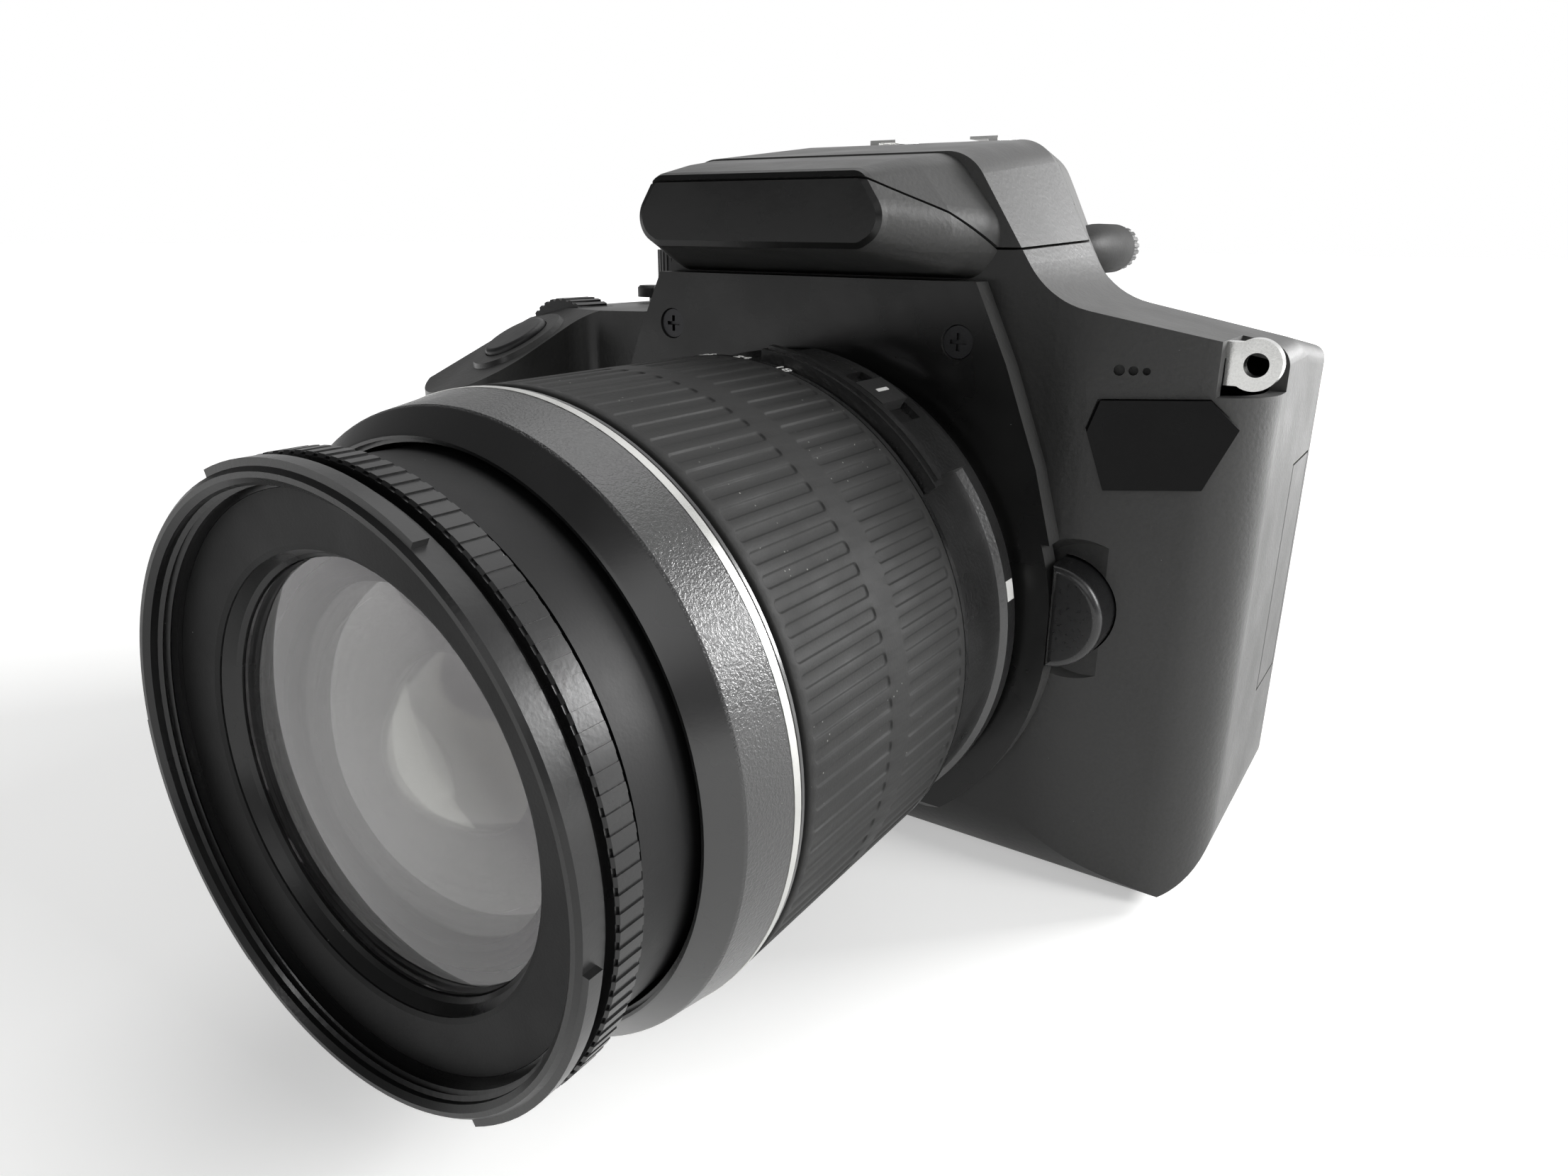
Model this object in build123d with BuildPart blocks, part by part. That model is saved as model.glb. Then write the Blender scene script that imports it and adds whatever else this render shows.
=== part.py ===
"""Digital single-lens reflex camera with its kit zoom, as an assembly of separate pieces.

Millimetres. +Z is up, the lens looks along -Y and the hand grip is on the -X side.
The origin is the mouth of the tripod socket, on the underside, below the lens axis.
"""
from build123d import *
import math
import os

os.makedirs("parts", exist_ok=True)

# ---------------------------------------------------------------- body, overall
LEFT_X = -71.0            # outer face of the grip end
RIGHT_X = 58.0            # outer face of the terminal end
BACK_Y = 25.0             # flat back of the body
GRIP_Y = -44.0            # front of the hand grip
FRONT_Y = -27.0           # front wall beside the mount
VISOR_Y = -42.6           # fascia of the visor
SHOULDER_Z = 74.0         # top of the grip end
DECK_Z = 99.0             # top of the finder hump
AXIS_Z = 38.0             # lens axis above the base
MOUNT_Y = -32.0           # mounting plane of the lens
FLANGE_DEPTH = 44.0       # mounting plane to image plane
WALL = 2.0                # moulded cover wall
BASE_T = 2.5              # thickness of the bottom cover
SEAM_Y = 2.0              # front cover meets rear cover
FIT = 0.1                 # assembly clearance per side
RUN = 0.3                 # clearance round moving pieces

# ---------------------------------------------------------------- lens mount
THROAT_R = 27.0           # clear bore of the mount ring
MOUNT_RING_R = 32.5
MOUNT_RING_T = 3.0
BOSS_R = 37.5             # round boss that carries the mount ring
BOSS_H = 3.5              # how far the boss stands out of the front wall
BAYONET_R = 25.6          # inside of the body's three bayonet flanges
BAYONET_T = 1.3
BAYONET_SPAN = 56.0       # degrees of each bayonet flange or lug

# ---------------------------------------------------------------- lens, s = distance in front of the mount
FILTER_R = 29.0           # M58 filter thread
FILTER_L = 2.7            # length of the filter thread
TUBE_R = FILTER_R + 0.6   # sliding inner barrel
TUBE_WALL = 1.4
GUIDE_WALL = 1.3
GUIDE_R = TUBE_R + RUN + GUIDE_WALL         # fixed guide tube inside the zoom ring
BARREL_R = GUIDE_R + 1.8                    # fixed rear barrel
BARREL_S = 14.6           # front edge of the fixed rear barrel
ZOOM_CORE_R = GUIDE_R + RUN + 1.6           # zoom ring under its rubber
GRIP_R = ZOOM_CORE_R + 1.1                  # crests of the zoom rubber
GRIP_S0 = BARREL_S + 1.6
GRIP_S1 = GRIP_S0 + 33.6
LINE_S0 = GRIP_S1 + 1.4   # bright line ring
LINE_S1 = LINE_S0 + 1.0
BAND_S1 = LINE_S1 + 6.1   # front edge of the smooth band
ZOOM_S1 = LINE_S1 + 8.6   # front edge of the zoom ring
TUBE_S0 = 24.0
TUBE_S1 = ZOOM_S1 + 6.4
FOCUS_S0 = TUBE_S1 + 1.4  # rear face of the focus ring
KNURL_S1 = FOCUS_S0 + 3.2
RIM_S = KNURL_S1 + 3.4    # front rim
NAME_S = RIM_S - 0.5 - FILTER_L             # face of the name ring
KNURL_R = FILTER_R + 2.2
RIM_R = FILTER_R + 1.4
LUG_R = FILTER_R + 2.1    # hood bayonet lugs
NAME_OUT_R = FILTER_R - 0.8                 # seat of the name ring
NAME_HOLE_R = FILTER_R - 6.4
GLASS_R = NAME_HOLE_R - 1.0
GLASS_S = NAME_S - 2.6    # front edge of the front glass
KNURL_TEETH = 120
GRIP_RIBS = 90
POCKET_W = 1.45
REAR_POCKETS = (GRIP_S0 + 1.2, GRIP_S0 + 14.1)
FRONT_POCKETS = (GRIP_S0 + 17.7, GRIP_S1 - 1.2)


def keep(piece, label):
    """Name a finished piece and write it as its own STEP file."""
    piece.part.label = label
    export_step(piece.part, f"parts/{label}.step")


def facing(y):
    """Plane square to the lens axis at depth y: local x is +X, local y is height."""
    return Plane(origin=(0, y, 0), x_dir=(1, 0, 0), z_dir=(0, -1, 0))


def siding(x):
    """Plane square to X: local x is +Y, local y is height."""
    return Plane(origin=(x, 0, 0), x_dir=(0, 1, 0), z_dir=(1, 0, 0))


def across_lens(s):
    """Plane across the lens axis at s in front of the mount, facing forward."""
    return Plane(origin=(0, MOUNT_Y - s, AXIS_Z), x_dir=(1, 0, 0), z_dir=(0, -1, 0))


LENS_SECTION = Plane(origin=(0, MOUNT_Y, AXIS_Z), x_dir=(1, 0, 0), z_dir=(0, 0, -1))
LENS_AXIS = Axis((0, MOUNT_Y, AXIS_Z), (0, -1, 0))


def turned(outline):
    """Solid of revolution about the lens axis from (radius, s) points."""
    with BuildPart() as body:
        with BuildSketch(LENS_SECTION):
            with BuildLine():
                Polyline(*outline, close=True)
            make_face()
        revolve(axis=LENS_AXIS)
    return body


def ring(r_in, r_out, s0, s1):
    """Plain ring on the lens axis."""
    return turned([(r_in, s0), (r_out, s0), (r_out, s1), (r_in, s1)])


def slab(x0, x1, y0, y1, z0, z1):
    """Plain block between two corners."""
    with BuildPart(Plane.XY.offset(z0)) as block:
        with Locations(((x0 + x1) / 2, (y0 + y1) / 2)):
            Box(x1 - x0, y1 - y0, z1 - z0, align=(Align.CENTER, Align.CENTER, Align.MIN))
    return block


# ================================================================ outer form of the body
SIDE_R = 9.0
PLAN = [
    (LEFT_X, BACK_Y, SIDE_R),
    (LEFT_X, GRIP_Y, 13.0),
    (-47.5, GRIP_Y, 9.0),
    (-43.5, FRONT_Y, 4.0),
    (37.0, FRONT_Y, 30.0),
    (RIGHT_X, FRONT_Y + 4.5, 9.0),
    (RIGHT_X, BACK_Y, SIDE_R),
]
BROW_Z = DECK_Z - 13.0    # widest part of the visor
HUMP_BACK = 7.8           # how much the hump draws in towards the back, per side
HUMP_Y = -3.0             # crest of the hump, seen from the side
HUMP_FALL = 5.2           # fall of the hump towards the visor
SHOULDER_FALL = 3.2       # fall of the terminal shoulder towards the back
CREST_R = 9.0             # rounding of the hump into the back


def elevation(drawn_in, fall, shoulder_fall):
    """Front outline of the body with its hump drawn in and lowered: (x, z, corner radius)."""
    return [
        (LEFT_X, 0, 4.0),
        (LEFT_X, 61.0, 7.0),
        (-60.0, SHOULDER_Z, 9.0),
        (-27.5 + drawn_in, SHOULDER_Z + 1.0, 5.0),
        (-21.3 + drawn_in, DECK_Z - fall, 6.0),
        (21.3 - drawn_in, DECK_Z - fall, 6.0),
        (32.6 - drawn_in, DECK_Z - 20.0 - shoulder_fall, 12.0),
        (RIGHT_X, SHOULDER_Z - shoulder_fall, 3.0),
        (RIGHT_X, 0, 10.0),
    ]


CHIN_R = 9.0              # rounding under the front wall
# Trigger plane: the sloped top of the grip, where the shutter button sits
TRIGGER = Plane(origin=(-54.0, -31.5, 69.3), x_dir=(1, 0, 0.22), z_dir=(-0.2, -0.42, 0.885))
# Visor corners (half width, height) at the fascia and where it meets the front wall
FASCIA = [(15.3, DECK_Z - 5.5, 2.5), (19.8, DECK_Z - 12.0, 3.5), (15.2, DECK_Z - 14.6, 2.5)]
VISOR_WAIST = [(17.4, DECK_Z - 4.1, 4.0), (24.3, DECK_Z - 12.5, 4.0), (19.6, DECK_Z - 16.2, 2.8)]
VISOR_ROOT = [(19.8, DECK_Z - 2.9, 5.5), (28.2, BROW_Z, 4.8), (24.0, DECK_Z - 18.2, 3.0)]
BOSS_SIDES = [(36.6, 50.0), (34.0, 59.3), (29.2, 71.5), (24.6, 81.0)]


def outline(points):
    """Closed outline from (x, y, corner radius)."""
    return FilletPolyline(*[(x, y) for x, y, _ in points], radius=[r for _, _, r in points], close=True)


def mirrored(half):
    """Closed outline from its right-hand points, top to bottom."""
    return half + [(-x, *rest) for x, *rest in reversed(half)]


def front_outline(inset):
    """Solid of the front outline, which changes from its crest towards the front and the back."""
    with BuildPart() as prism:
        for y, shape in ((GRIP_Y - 1.0, (0, HUMP_FALL, 0)), (BACK_Y + 1.0, (HUMP_BACK, 0, SHOULDER_FALL))):
            for depth, figures in ((HUMP_Y, (0, 0, 0)), (y, shape)):
                with BuildSketch(facing(depth)):
                    with BuildLine():
                        outline(elevation(*figures))
                    make_face()
                    if inset:
                        offset(amount=-inset)
            loft(ruled=True)
    return prism


def body_form(inset):
    """Body covers as one closed form, or the hollow inside them when drawn in by a wall."""
    with BuildPart() as form:
        with BuildSketch(Plane.XY):
            with BuildLine():
                outline(PLAN)
            make_face()
            if inset:
                offset(amount=-inset)
        extrude(amount=2 * DECK_Z)
        add(front_outline(inset).part, mode=Mode.INTERSECT)
        # the hump rounds into the back
        with BuildSketch(siding(LEFT_X)):
            with Locations((BACK_Y - inset, DECK_Z - inset)):
                Rectangle(CREST_R - inset, CREST_R - inset, align=(Align.MAX, Align.MAX))
            with Locations((BACK_Y - CREST_R, DECK_Z - CREST_R)):
                Circle(CREST_R - inset, mode=Mode.SUBTRACT)
        extrude(amount=RIGHT_X - LEFT_X, mode=Mode.SUBTRACT)
        # sloped top of the grip
        with BuildSketch(TRIGGER.offset(-inset)):
            with Locations((-6.0, -3.0)):
                Rectangle(44.0, 36.0)
        extrude(amount=30.0, mode=Mode.SUBTRACT)
        # chin, rounded under the front wall
        with BuildSketch(siding(LEFT_X + 28.0)):
            with Locations((FRONT_Y + inset, 0)):
                Rectangle(CHIN_R, CHIN_R, align=(Align.MIN, Align.MIN))
            with Locations((FRONT_Y + inset + CHIN_R, CHIN_R)):
                Circle(CHIN_R, mode=Mode.SUBTRACT)
        extrude(amount=2 * RIGHT_X, mode=Mode.SUBTRACT)
    return form


# ================================================================ flash head and top seams
HINGE_Y = 0.0             # flash hinge axis
HINGE_R = 4.2             # rounded back of the flash head
HINGE_Z = DECK_Z - HINGE_R
HINGE_PIN_R = 0.8
HEAD_WALL = 1.6
LAMP_W = 29.8             # window of the flash lamp
LAMP_L = 12.8
EAR_X = 9.5               # centre of each hinge ear
EAR_T = 2.4
FLASH_SIDE = [
    (VISOR_Y - 2.0, FASCIA[0][1]),
    (-34.0, DECK_Z - 10.0),
    (FRONT_Y, DECK_Z - 14.0),
    (HINGE_Y, BROW_Z),
    (HINGE_Y, DECK_Z + 6.0),
    (VISOR_Y - 2.0, DECK_Z + 6.0),
]
SEAM_Z = DECK_Z - 14.6    # top of the front cover behind the visor
SKY = 1.25 * DECK_Z
FRONT_SEAM = [(-90, 60), (-41, 60), (-41, 70.5), (-27, 71.5), (-24.9, SEAM_Z), (24.9, SEAM_Z),
              (30.2, 81.0), (37.7, 76.2), (47.3, 74.2), (58, 72.0), (90, 69.5), (90, SKY), (-90, SKY)]
REAR_SEAM = [(-90, 66), (-28, 66), (-26, DECK_Z - 7.0), (26, DECK_Z - 7.0), (29, 68), (90, 68), (90, SKY), (-90, SKY)]

whole = body_form(0)
hollow = body_form(WALL)
skin_core = body_form(1.0)

with BuildPart() as visor:
    for y, section, inset in (
        (VISOR_Y, FASCIA, 1.0), (VISOR_Y + 0.3, FASCIA, 0.3), (VISOR_Y + 1.0, FASCIA, 0),
        (VISOR_Y + 8.6, VISOR_WAIST, 0), (FRONT_Y + 2.0, VISOR_ROOT, 0),
    ):
        with BuildSketch(facing(y)):
            with BuildLine():
                outline(mirrored(section))
            make_face()
            if inset:
                offset(amount=-inset)
    loft(ruled=True)

with BuildPart() as boss:
    with BuildSketch(facing(FRONT_Y + 2.0)):
        with Locations((0, AXIS_Z)):
            Circle(BOSS_R)
        with BuildLine():
            Polyline(*mirrored(BOSS_SIDES), close=True)
        make_face()
        with Locations((0, BASE_T)):
            Rectangle(3 * BOSS_R, BOSS_R, align=(Align.CENTER, Align.MAX), mode=Mode.SUBTRACT)
    extrude(amount=BOSS_H + 2.0)
    # underside of the boss rises to the front
    with BuildSketch(siding(-BOSS_R)):
        with BuildLine():
            Polyline((FRONT_Y - BOSS_H - 1, 10.0), (FRONT_Y + CHIN_R, 0), (FRONT_Y - BOSS_H - 1, 0), close=True)
        make_face()
    extrude(amount=2 * BOSS_R, mode=Mode.SUBTRACT)

with BuildPart() as front_top:
    with BuildSketch(facing(SEAM_Y)):
        with BuildLine():
            Polyline(*FRONT_SEAM, close=True)
        make_face()
    extrude(amount=80.0)
with BuildPart() as rear_top:
    with BuildSketch(facing(SEAM_Y)):
        with BuildLine():
            Polyline(*REAR_SEAM, close=True)
        make_face()
    extrude(amount=-80.0)
    # the top cover also closes the hump behind the flash head
    add(slab(-90, 90, SEAM_Y, SEAM_Y + 6.0, SEAM_Z, SKY).part)
with BuildPart() as flash_zone:
    with BuildSketch(siding(LEFT_X)):
        with BuildLine():
            Polyline(*FLASH_SIDE, close=True)
        make_face()
        with Locations((HINGE_Y, HINGE_Z)):
            Circle(HINGE_R)
    extrude(amount=2 * RIGHT_X + 20)
with BuildPart() as flash_pocket:
    with BuildSketch(siding(LEFT_X)):
        with BuildLine():
            Polyline(*FLASH_SIDE, close=True)
        make_face()
        with Locations((HINGE_Y, HINGE_Z)):
            Circle(HINGE_R)
            Rectangle(HINGE_R, 2 * HINGE_R, align=(Align.MIN, Align.MIN))
        offset(amount=RUN)
    extrude(amount=2 * RIGHT_X + 20)
with BuildPart() as outer:
    add(whole.part)
    add(visor.part)
    add(boss.part)
# the hollow stops below the flash head
with BuildPart() as inside:
    add(hollow.part)
    with BuildSketch(siding(LEFT_X)):
        with Locations((HINGE_Y + 6.0, DECK_Z - 16.0)):
            Rectangle(60.0, 40.0, align=(Align.MAX, Align.MIN))
    extrude(amount=2 * RIGHT_X + 20, mode=Mode.SUBTRACT)
front_half = slab(-90, 90, -60, SEAM_Y, BASE_T, SKY)
rear_half = slab(-90, 90, SEAM_Y, 60, BASE_T, SKY)

# ================================================================ places shared by neighbours
BUTTON_PRESS = 0.6
# rear keys: label, x, z, radius
REAR_KEYS = [
    ("live_view_button", -24.0, 68.6, 2.5),
    ("ae_lock_button", -49.5, 61.5, 2.6),
    ("af_point_button", -57.5, 61.5, 2.6),
    ("exposure_button", -33.5, 49.0, 2.8),
    ("quick_menu_button", -33.5, 40.5, 2.8),
    ("menu_button", -33.5, 15.5, 2.8),
    ("playback_button", -44.5, 12.5, 2.8),
    ("erase_button", -55.5, 12.5, 2.8),
]
PAD_X = -50.5             # centre of the four-way pad
PAD_Z = 30.0
PAD_R = 10.0
SET_R = 4.2
SCREEN_X = 8.5
SCREEN_Z = 31.0
SCREEN_W = 70.0
SCREEN_H = 50.0
SCREEN_T = 1.6
EYE_Z = DECK_Z - 23.0
EYE_W = 18.0
EYE_H = 12.5
CUP_W = 36.0
CUP_H = 23.0
CUP_DEPTH = 8.6
THUMB = (-61.0, 46.0)
THUMB_R = (6.0, 10.5)
SHUTTER_R = 5.4
MAIN_DIAL = (-54.0, -18.0)
MAIN_DIAL_R = 8.5
MAIN_DIAL_T = 7.0
MAIN_DIAL_Z = 67.2
MODE_DIAL = (-43.0, 6.0)
MODE_DIAL_R = 9.8
MODE_DIAL_H = 6.0
LEVER_R = 11.0
LEVER_T = 2.0
FLASH_KEY = (-36.5, -13.0)
FLASH_KEY_R = 2.8
SHOE_Y0 = 5.5
SHOE_L = 16.0
SHOE_W = 21.6
SHOE_SLOT_W = 18.6
SHOE_SLOT_H = 2.0
SHOE_LIP_GAP = 12.6
SHOE_SHEET = 0.4
SHOE_SINK = 1.4           # recess of the deck that the shoe sits in
SHOE_Z = DECK_Z - SHOE_SINK
RELEASE_X = 37.3
RELEASE_Z = 41.0
RELEASE_H = 13.6
RELEASE_W = 7.0
RELEASE_OUT = 4.2         # how far it stands out of the front wall
CRATER_R = 10.0
BADGE = [(39.4, 67.8), (51.9, 68.5), (55.4, 65.4), (52.2, 58.0), (41.0, 57.0), (38.3, 64.4)]
BADGE_T = 0.8
LAMP = (-37.5, 58.0)
LAMP_R = 2.4
SCREW_R = 2.0
THROAT_SCREWS = [(-22.6, 73.8), (22.6, 73.8)]
DOOR = (-65.5, -45.5, -37.0, 4.0)   # battery door: x0, x1, y0, y1
DOOR_T = 2.2
DOOR_AXIS_R = 1.0
DOOR_PIN_R = 0.5
LATCH_W = 6.0
LATCH_L = 10.0
LATCH_T = 1.0
LATCH_TRAVEL = 2.0
PORT = (3.0, 15.0, 24.0, 57.0)      # terminal cover: y0, y1, z0, z1
PORT_T = 1.2
TRIPOD_R = 3.175          # 1/4-20 thread
TRIPOD_DEPTH = 6.5
TRIPOD_INSERT_R = 6.0

# ================================================================ front cover and what sits in it
WALL_DIR = math.atan2(4.5, RIGHT_X - 37.0)
BADGE_X = 46.8
# the front wall falls back towards the terminal end
SLANT = Plane(
    origin=(BADGE_X, FRONT_Y + (BADGE_X - 37.0) * math.tan(WALL_DIR), 0),
    x_dir=(math.cos(WALL_DIR), math.sin(WALL_DIR), 0),
    z_dir=(math.sin(WALL_DIR), -math.cos(WALL_DIR), 0),
)
BADGE_SEAT = 0.6
MIC_HOLES = [(-5.4, 0.65), (-3.8, 0.55), (-2.3, 0.45)]
MIC_Z = 71.4
PIN_R = 1.0               # lens lock pin
PIN_X = 29.8
PIN_OUT = 1.3             # how far the pin reaches into the lens flange
LUG_POCKET = (52.2, 62.0, -27.0, -13.0, 68.8, 80.0)
GRIP_LUG_POCKET = (-80.0, -65.6, -11.0, 1.0, 58.0, 66.0)


def release_outline(clearance):
    """D-shaped outline of the lens release, in the current sketch."""
    with Locations((RELEASE_X, RELEASE_Z)):
        Circle(RELEASE_H / 2 + clearance)
        Rectangle(RELEASE_H, 2 * RELEASE_H, align=(Align.MAX, Align.CENTER), mode=Mode.SUBTRACT)


with BuildPart() as grip_rubber:
    add(whole.part)
    add(skin_core.part, mode=Mode.SUBTRACT)
    add(slab(-90, -46.5, -60, -12.0, 8.0, 58.0).part, mode=Mode.INTERSECT)
with BuildPart() as thumb_rest:
    with BuildSketch(facing(BACK_Y)):
        with Locations(THUMB):
            Ellipse(*THUMB_R)
    extrude(amount=-1.8)
    fillet(thumb_rest.faces().sort_by(Axis.Y)[-1].edges(), 1.2)
with BuildPart() as grip_rubbers:
    add(grip_rubber.part)
    add(thumb_rest.part)
keep(grip_rubbers, "grip_rubbers")

with BuildPart() as front_cover:
    add(outer.part)
    add(inside.part, mode=Mode.SUBTRACT)
    add(front_half.part, mode=Mode.INTERSECT)
    add(front_top.part, mode=Mode.SUBTRACT)
    add(grip_rubber.part, mode=Mode.SUBTRACT)
    # throat and seat of the mount ring
    with BuildSketch(facing(SEAM_Y)):
        with Locations((0, AXIS_Z)):
            Circle(THROAT_R + 0.6)
    extrude(amount=60.0, mode=Mode.SUBTRACT)
    with BuildSketch(across_lens(-MOUNT_RING_T)):
        Circle(MOUNT_RING_R + FIT)
    extrude(amount=20.0, mode=Mode.SUBTRACT)
    # dished crater and bore of the lens release, bore of its lock pin
    with BuildSketch(facing(FRONT_Y)):
        with Locations((RELEASE_X + 3.4, RELEASE_Z)):
            Circle(CRATER_R)
    extrude(amount=-1.2, taper=45, mode=Mode.SUBTRACT)
    with BuildSketch(facing(SEAM_Y)):
        release_outline(0.2)
        with Locations((PIN_X, AXIS_Z)):
            Circle(PIN_R + 0.15)
    extrude(amount=50.0, mode=Mode.SUBTRACT)
    # seats of the badge plate, microphone, lamp and throat screws
    with BuildSketch(SLANT.offset(-BADGE_SEAT)):
        with BuildLine():
            Polyline(*[(x - BADGE_X, z) for x, z in BADGE], close=True)
        make_face()
        offset(amount=FIT)
    extrude(amount=6.0, mode=Mode.SUBTRACT)
    for dx, hole_r in MIC_HOLES:
        with BuildSketch(SLANT.offset(-1.2)):
            with Locations((dx, MIC_Z)):
                Circle(hole_r)
        extrude(amount=6.0, mode=Mode.SUBTRACT)
    with BuildSketch(facing(FRONT_Y + WALL + 1.0)):
        with Locations(LAMP):
            Circle(LAMP_R + 0.05)
    extrude(amount=10.0, mode=Mode.SUBTRACT)
    with BuildSketch(facing(FRONT_Y - BOSS_H + 1.2)):
        with Locations(*THROAT_SCREWS):
            Circle(SCREW_R + 0.15)
    extrude(amount=10.0, mode=Mode.SUBTRACT)
    add(slab(*LUG_POCKET).part, mode=Mode.SUBTRACT)
    add(slab(*GRIP_LUG_POCKET).part, mode=Mode.SUBTRACT)
keep(front_cover, "front_cover")

with BuildPart() as badge_plate:
    with BuildSketch(SLANT.offset(-BADGE_SEAT)):
        with BuildLine():
            Polyline(*[(x - BADGE_X, z) for x, z in BADGE], close=True)
        make_face()
    extrude(amount=BADGE_SEAT + BADGE_T)
    chamfer(badge_plate.faces().sort_by(Axis.Y)[0].edges(), 0.3)
keep(badge_plate, "badge_plate")

with BuildPart() as timer_lamp:
    with BuildSketch(facing(FRONT_Y + WALL)):
        with Locations(LAMP):
            Circle(LAMP_R)
    extrude(amount=WALL + 0.4)
    fillet(timer_lamp.faces().sort_by(Axis.Y)[0].edges(), 0.35)
keep(timer_lamp, "timer_lamp")

def sector(r_in, r_out, start, span):
    """Part of a ring between two angles, in the current sketch."""
    with BuildLine(mode=Mode.PRIVATE) as edge:
        outside = CenterArc((0, 0), r_out, start, span)
        within = CenterArc((0, 0), r_in, start, span)
        Line(outside @ 0, within @ 0)
        Line(outside @ 1, within @ 1)
    make_face(edge.edges())


with BuildPart() as mount_ring:
    add(ring(THROAT_R, MOUNT_RING_R, -MOUNT_RING_T, 0).part)
    with BuildSketch(across_lens(-BAYONET_T)):
        for k in range(3):
            sector(BAYONET_R, THROAT_R + 0.3, 120 * k + 90 - BAYONET_SPAN / 2, BAYONET_SPAN)
    extrude(amount=BAYONET_T)
    with BuildSketch(across_lens(-MOUNT_RING_T)):
        with Locations((PIN_X, 0)):
            Circle(PIN_R + 0.1)
    extrude(amount=MOUNT_RING_T, mode=Mode.SUBTRACT)
keep(mount_ring, "mount_ring")

with BuildPart() as lens_release_button:
    with BuildSketch(facing(FRONT_Y + WALL - 0.4)):
        release_outline(0)
    extrude(amount=WALL - 0.4 + RELEASE_OUT)
    fillet(lens_release_button.faces().sort_by(Axis.Y)[0].edges(), 1.0)
    # collar and arm behind the wall, carrying the lock pin
    with BuildSketch(facing(FRONT_Y + WALL + 1.8)):
        with Locations((PIN_X - 2.0, RELEASE_Z - 1.5)):
            Rectangle(RELEASE_X + 3.6 - PIN_X + 2.0, 8.0, align=(Align.MIN, Align.CENTER))
    extrude(amount=1.5)
    with BuildSketch(facing(FRONT_Y + WALL + 0.6)):
        release_outline(0)
    extrude(amount=1.2)
    with BuildSketch(facing(FRONT_Y + WALL + 0.4)):
        with Locations((PIN_X, AXIS_Z)):
            Circle(PIN_R)
    extrude(amount=FRONT_Y + WALL + 0.4 - MOUNT_Y + PIN_OUT)
keep(lens_release_button, "lens_release_button")

# ================================================================ top cover and what sits in it
COLLAR_R = 8.2
COLLAR_H = 0.7
DIAL_PIN_R = 1.0
DIAL_SEAT_Z = 75.1
DIAL_SHAFT_R = 3.0

with BuildPart() as top_zone:
    add(front_top.part)
    add(rear_top.part)

with BuildPart() as top_cover:
    add(outer.part)
    add(inside.part, mode=Mode.SUBTRACT)
    add(top_zone.part, mode=Mode.INTERSECT)
    add(flash_pocket.part, mode=Mode.SUBTRACT)
    # ears that carry the flash hinge pin
    for side in (-1, 1):
        with BuildSketch(siding(side * EAR_X - EAR_T / 2)):
            with Locations((HINGE_Y, HINGE_Z)):
                Circle(1.9)
                Rectangle(3.8, HINGE_Z - SEAM_Z - 0.2, align=(Align.CENTER, Align.MAX))
                Circle(HINGE_PIN_R + 0.03, mode=Mode.SUBTRACT)
        extrude(amount=EAR_T)
    # raised collar and bore of the shutter button
    with BuildSketch(TRIGGER):
        Circle(COLLAR_R)
    extrude(amount=COLLAR_H, taper=30)
    with BuildSketch(TRIGGER.offset(-8.0)):
        Circle(SHUTTER_R + 0.15)
    extrude(amount=12.0, mode=Mode.SUBTRACT)
    # ears and slot of the main dial
    for y in (MAIN_DIAL[1] - MAIN_DIAL_T / 2 - 1.8, MAIN_DIAL[1] + MAIN_DIAL_T / 2 + 1.8):
        with BuildSketch(facing(y + 0.75)):
            with Locations((MAIN_DIAL[0], MAIN_DIAL_Z)):
                Rectangle(6.0, SHOULDER_Z - WALL - MAIN_DIAL_Z + 0.4, align=(Align.CENTER, Align.MIN))
                Circle(3.0)
                Circle(DIAL_PIN_R + 0.03, mode=Mode.SUBTRACT)
        extrude(amount=1.5)
    with BuildSketch(facing(MAIN_DIAL[1] + MAIN_DIAL_T / 2 + RUN)):
        with Locations((MAIN_DIAL[0], MAIN_DIAL_Z)):
            Circle(MAIN_DIAL_R + 0.4)
    extrude(amount=MAIN_DIAL_T + 2 * RUN, mode=Mode.SUBTRACT)
    # seat and bore of the mode dial
    with BuildSketch(Plane.XY.offset(SHOULDER_Z - WALL)):
        with Locations(MODE_DIAL):
            Circle(LEVER_R + 0.5)
    extrude(amount=DIAL_SEAT_Z - SHOULDER_Z + WALL)
    with BuildSketch(Plane.XY.offset(DIAL_SEAT_Z - 6.0)):
        with Locations(MODE_DIAL):
            Circle(DIAL_SHAFT_R + 0.05)
        with Locations(FLASH_KEY):
            Circle(FLASH_KEY_R + 0.15)
    extrude(amount=10.0, mode=Mode.SUBTRACT)
    # recess of the hot shoe, open to the back
    add(slab(-SHOE_W / 2 - FIT, SHOE_W / 2 + FIT, SHOE_Y0 - FIT, BACK_Y, SHOE_Z, SKY).part, mode=Mode.SUBTRACT)
    add(slab(*LUG_POCKET).part, mode=Mode.SUBTRACT)
    add(slab(*GRIP_LUG_POCKET).part, mode=Mode.SUBTRACT)
keep(top_cover, "top_cover")

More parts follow.
